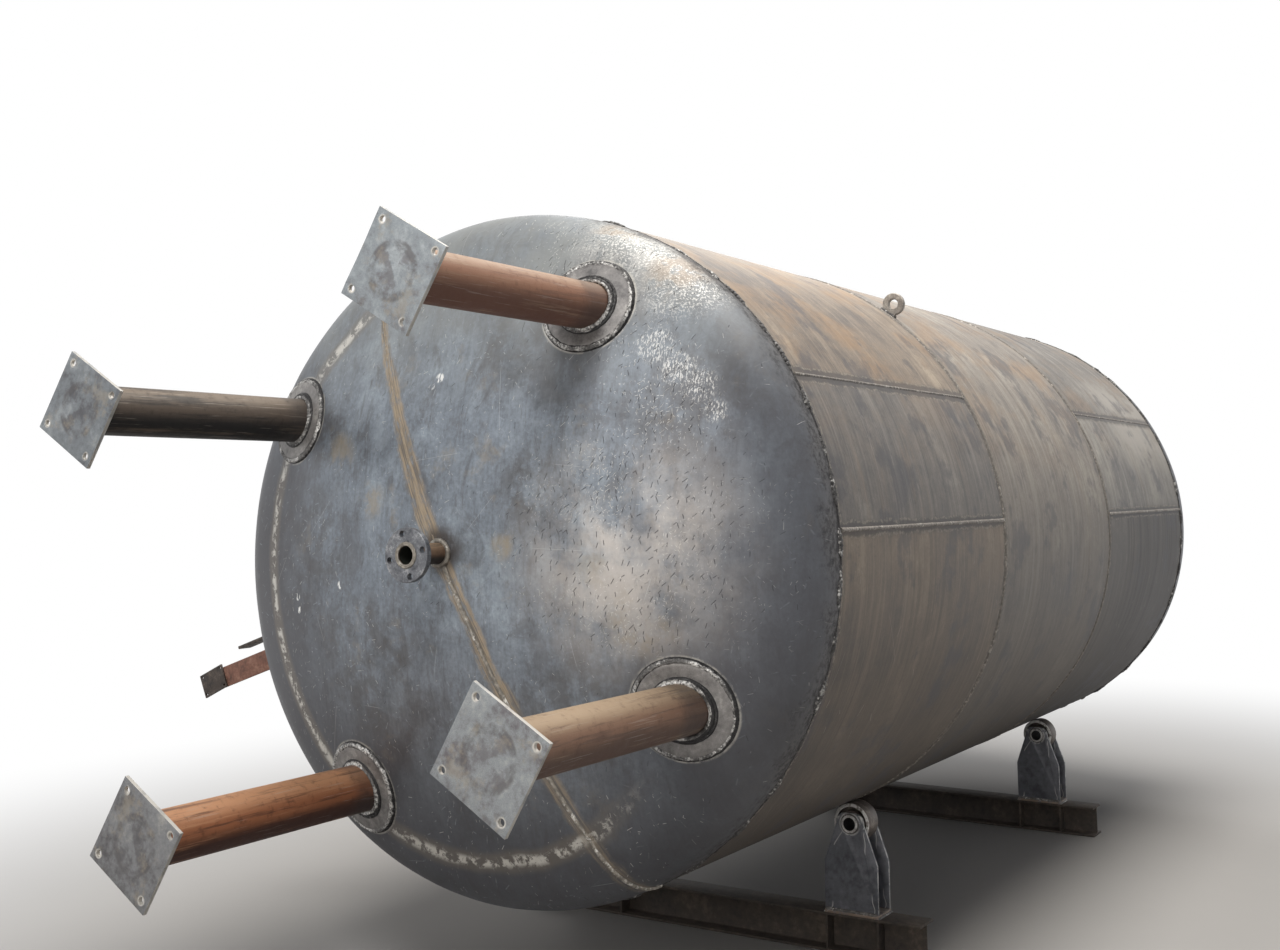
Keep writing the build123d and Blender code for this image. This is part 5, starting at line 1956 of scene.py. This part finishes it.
FINISHES = (
    BeadFinish(),
    BeadFinish("slag_root", Tones((0.13, 0.125, 0.12), (0.04, 0.037, 0.037), (0.012, 0.011, 0.012)),
               90.0, 0.2),
    BeadFinish("ground_weld", Tones((0.8, 0.78, 0.73), (0.36, 0.33, 0.285), (0.11, 0.1, 0.09)), 80.0),
    BeadFinish("seam_weld", Tones((0.6, 0.56, 0.5), (0.3, 0.27, 0.24), (0.06, 0.055, 0.053)), 100.0, 0.2),
    BeadFinish("girth_weld", Tones((0.46, 0.42, 0.37), (0.23, 0.205, 0.18), (0.08, 0.072, 0.066)),
               90.0, 0.15),
    BeadFinish("tack_weld", Tones((0.55, 0.54, 0.52), (0.1, 0.096, 0.094), (0.018, 0.017, 0.018)),
               70.0, 0.35),
    BeadFinish("brushed_weld", Tones((0.42, 0.355, 0.27), (0.36, 0.295, 0.215), (0.24, 0.2, 0.16)),
               60.0, 0.2),
    BeadFinish("leg_weld", Tones((0.7, 0.69, 0.67), (0.13, 0.125, 0.122), (0.022, 0.021, 0.022)),
               crests=(0.1292, 0.0746)),
    BeadFinish("stand_weld", Tones((0.7, 0.69, 0.67), (0.26, 0.25, 0.24), (0.045, 0.043, 0.043)), 80.0, 0.3),
    SteelFinish("pad_scale", Tones((0.4, 0.385, 0.37), (0.235, 0.225, 0.22), (0.1, 0.095, 0.095)), 11.0),
    SteelFinish("flange_scale", Tones((0.42, 0.425, 0.435), (0.165, 0.172, 0.19), (0.062, 0.064, 0.072)),
                24.0, 0.4, 0.36),
    SteelFinish("manhole_scale", Tones((0.46, 0.42, 0.37), (0.3, 0.27, 0.24), (0.16, 0.145, 0.135)), 7.0),
    SteelFinish("bolt_steel", Tones((0.52, 0.5, 0.47), (0.34, 0.32, 0.3), (0.18, 0.165, 0.15)), 30.0, 0.7),
    SteelFinish("eye_scale", Tones((0.55, 0.51, 0.45), (0.33, 0.3, 0.27), (0.17, 0.15, 0.14)), 30.0),
    SteelFinish("cleat_rust", Tones((0.42, 0.24, 0.18), (0.27, 0.135, 0.1), (0.1, 0.06, 0.05)), 20.0, 0.15,
                0.7),
    SteelFinish("cleat_dark", Tones((0.16, 0.13, 0.11), (0.075, 0.06, 0.052), (0.03, 0.026, 0.024)), 26.0,
                0.3, 0.6),
    SteelFinish("beam_rust", Tones((0.125, 0.1, 0.08), (0.06, 0.048, 0.04), (0.025, 0.021, 0.019)), 9.0,
                0.1, 0.75, 0.2, 0.15),
    PipeFinish("neck_rust", Tones((0.42, 0.29, 0.185), (0.22, 0.135, 0.085), (0.028, 0.022, 0.02)), 9.0,
               bore=NOZZLE_BORE),
    HeadFinish(),
    BracketFinish(),
    PinFinish(),
    RollerFinish(),
)
COURSE_TONES = (Tones((0.46, 0.385, 0.305), (0.285, 0.235, 0.19), (0.145, 0.125, 0.112)),
                Tones((0.46, 0.425, 0.375), (0.3, 0.27, 0.24), (0.16, 0.145, 0.135)),
                Tones((0.38, 0.36, 0.33), (0.225, 0.21, 0.195), (0.105, 0.098, 0.095)))
STRIP_TONES = (*(Tones((0.35, 0.325, 0.295), (0.205, 0.19, 0.178), (0.1, 0.098, 0.102)),) * 2,
               Tones((0.48, 0.455, 0.415), (0.31, 0.292, 0.268), (0.17, 0.162, 0.155)))
LEG_TONES = {
    "far_upper": (Tones((0.175, 0.135, 0.1), (0.085, 0.064, 0.049), (0.018, 0.016, 0.015)),
                  Tones((0.34, 0.365, 0.385), (0.215, 0.235, 0.255), (0.1, 0.098, 0.108))),
    "near_upper": (Tones((0.36, 0.235, 0.155), (0.31, 0.155, 0.095), (0.165, 0.08, 0.056)),
                   Tones((0.44, 0.475, 0.5), (0.3, 0.33, 0.355), (0.165, 0.155, 0.165))),
    "near_lower": (Tones((0.41, 0.3, 0.2), (0.255, 0.145, 0.095), (0.115, 0.07, 0.054)),
                   Tones((0.44, 0.45, 0.45), (0.3, 0.32, 0.335), (0.155, 0.145, 0.155))),
    "far_lower": (Tones((0.58, 0.3, 0.16), (0.34, 0.13, 0.06), (0.07, 0.032, 0.024)),
                  Tones((0.38, 0.375, 0.36), (0.235, 0.24, 0.25), (0.11, 0.105, 0.11))),
}


def main() -> None:
    """Builds every piece in order."""
    logging.basicConfig(level=logging.INFO, format="%(name)s %(message)s")
    studio = Studio()
    studio.place_camera()
    studio.place_lamps()
    studio.place_floor()
    bpy.context.scene.view_settings.view_transform = "Standard"

    fx = Effects()
    made = {finish.name: finish.build(fx) for finish in FINISHES}
    weld = made["weld_metal"]
    shell = Shell()
    starts = [shell.course_start(k) for k in range(shell.courses)]
    ends = [(start, start + shell.width) for start in starts]
    seams = [((shell.seam(k), 0.018), (shell.seam(k) - shell.strip_arc, 0.022)) for k in range(shell.courses)]
    plates = [ShellFinish(f"course_{k + 1}_scale", tones, 0.42 - 0.1 * k, 1.7 * k, seams[k],
                          ends[k]).build(fx) for k, tones in enumerate(COURSE_TONES)]
    strips = [ShellFinish(f"course_{k + 1}_strip_scale", tones, 0.22, 2.1 + 1.3 * k, seams[k],
                          ends[k]).build(fx) for k, tones in enumerate(STRIP_TONES)]

    bottom = DishedHead("bottom", Facing.LEGS, BOTTOM_RIM)
    bottom.build(made["head_mill_scale"])
    manhole = Manhole()
    top = DishedHead("top", Facing.TOP, TOP_RIM, manhole=manhole.centre(3.7))
    top.build(made["head_mill_scale"])
    low_runs = [head.lay_run(180.0, 0.001, 0.0065) for head in (bottom, top)]
    dress(joined("head_seam_beads_low", low_runs), made["ground_weld"], "weld_metal", "head_seam_welds")
    high_runs = [head.lay_run(0.0, 0.0045, 0.006) for head in (bottom, top)]
    dress(joined("head_seam_beads_high", high_runs), made["brushed_weld"], "weld_metal")

    shell.build(plates, strips)
    shell.lay_seams(made["seam_weld"], made["girth_weld"])
    HeadJoints().build(made["slag_root"], made["tack_weld"])

    pads, beads = [], []
    for number, (name, (rust, scale)) in enumerate(LEG_TONES.items()):
        leg = Leg(name, LEG_ANGLE + 90.0 * number, warp=0.007 if name == "near_upper" else 0.0)
        pads.append(leg.pad(bottom.skin))
        beads += leg.beads(bottom.skin)
        leg.pipe(PipeFinish(f"pipe_rust_{name}", rust).build(fx), bottom.skin)
        leg.base(BasePlateFinish(f"base_plate_scale_{name}", leg.centre(leg.plate_face), leg.angle,
                                 scale).build(fx))
    dress(joined("leg_pads_skin", pads), made["pad_scale"], "leg_pads", "leg_pads")
    dress(joined("leg_beads", beads), made["leg_weld"], "leg_pads")

    for head in (bottom, top):
        nozzle = Nozzle(head.name, head.facing, head.rim)
        nozzle.build(made["flange_scale"], made["neck_rust"], made["ground_weld"], head.skin)
    manhole.build(made["manhole_scale"], made["bolt_steel"], weld, top.skin)
    LiftingEyes().build(made["eye_scale"], weld)
    SideCleat().build(made["cleat_rust"], made["cleat_dark"], weld)

    for stand in (RollerStand("front", 0.0), RollerStand("rear", 2.285)):
        stand.beam(made["beam_rust"])
        stand.brackets(made["bracket_scale"], made["stand_weld"])
        stand.pins(made["pin_steel"])
        stand.rollers(made["roller_steel"])


if __name__ == "__main__":
    main()
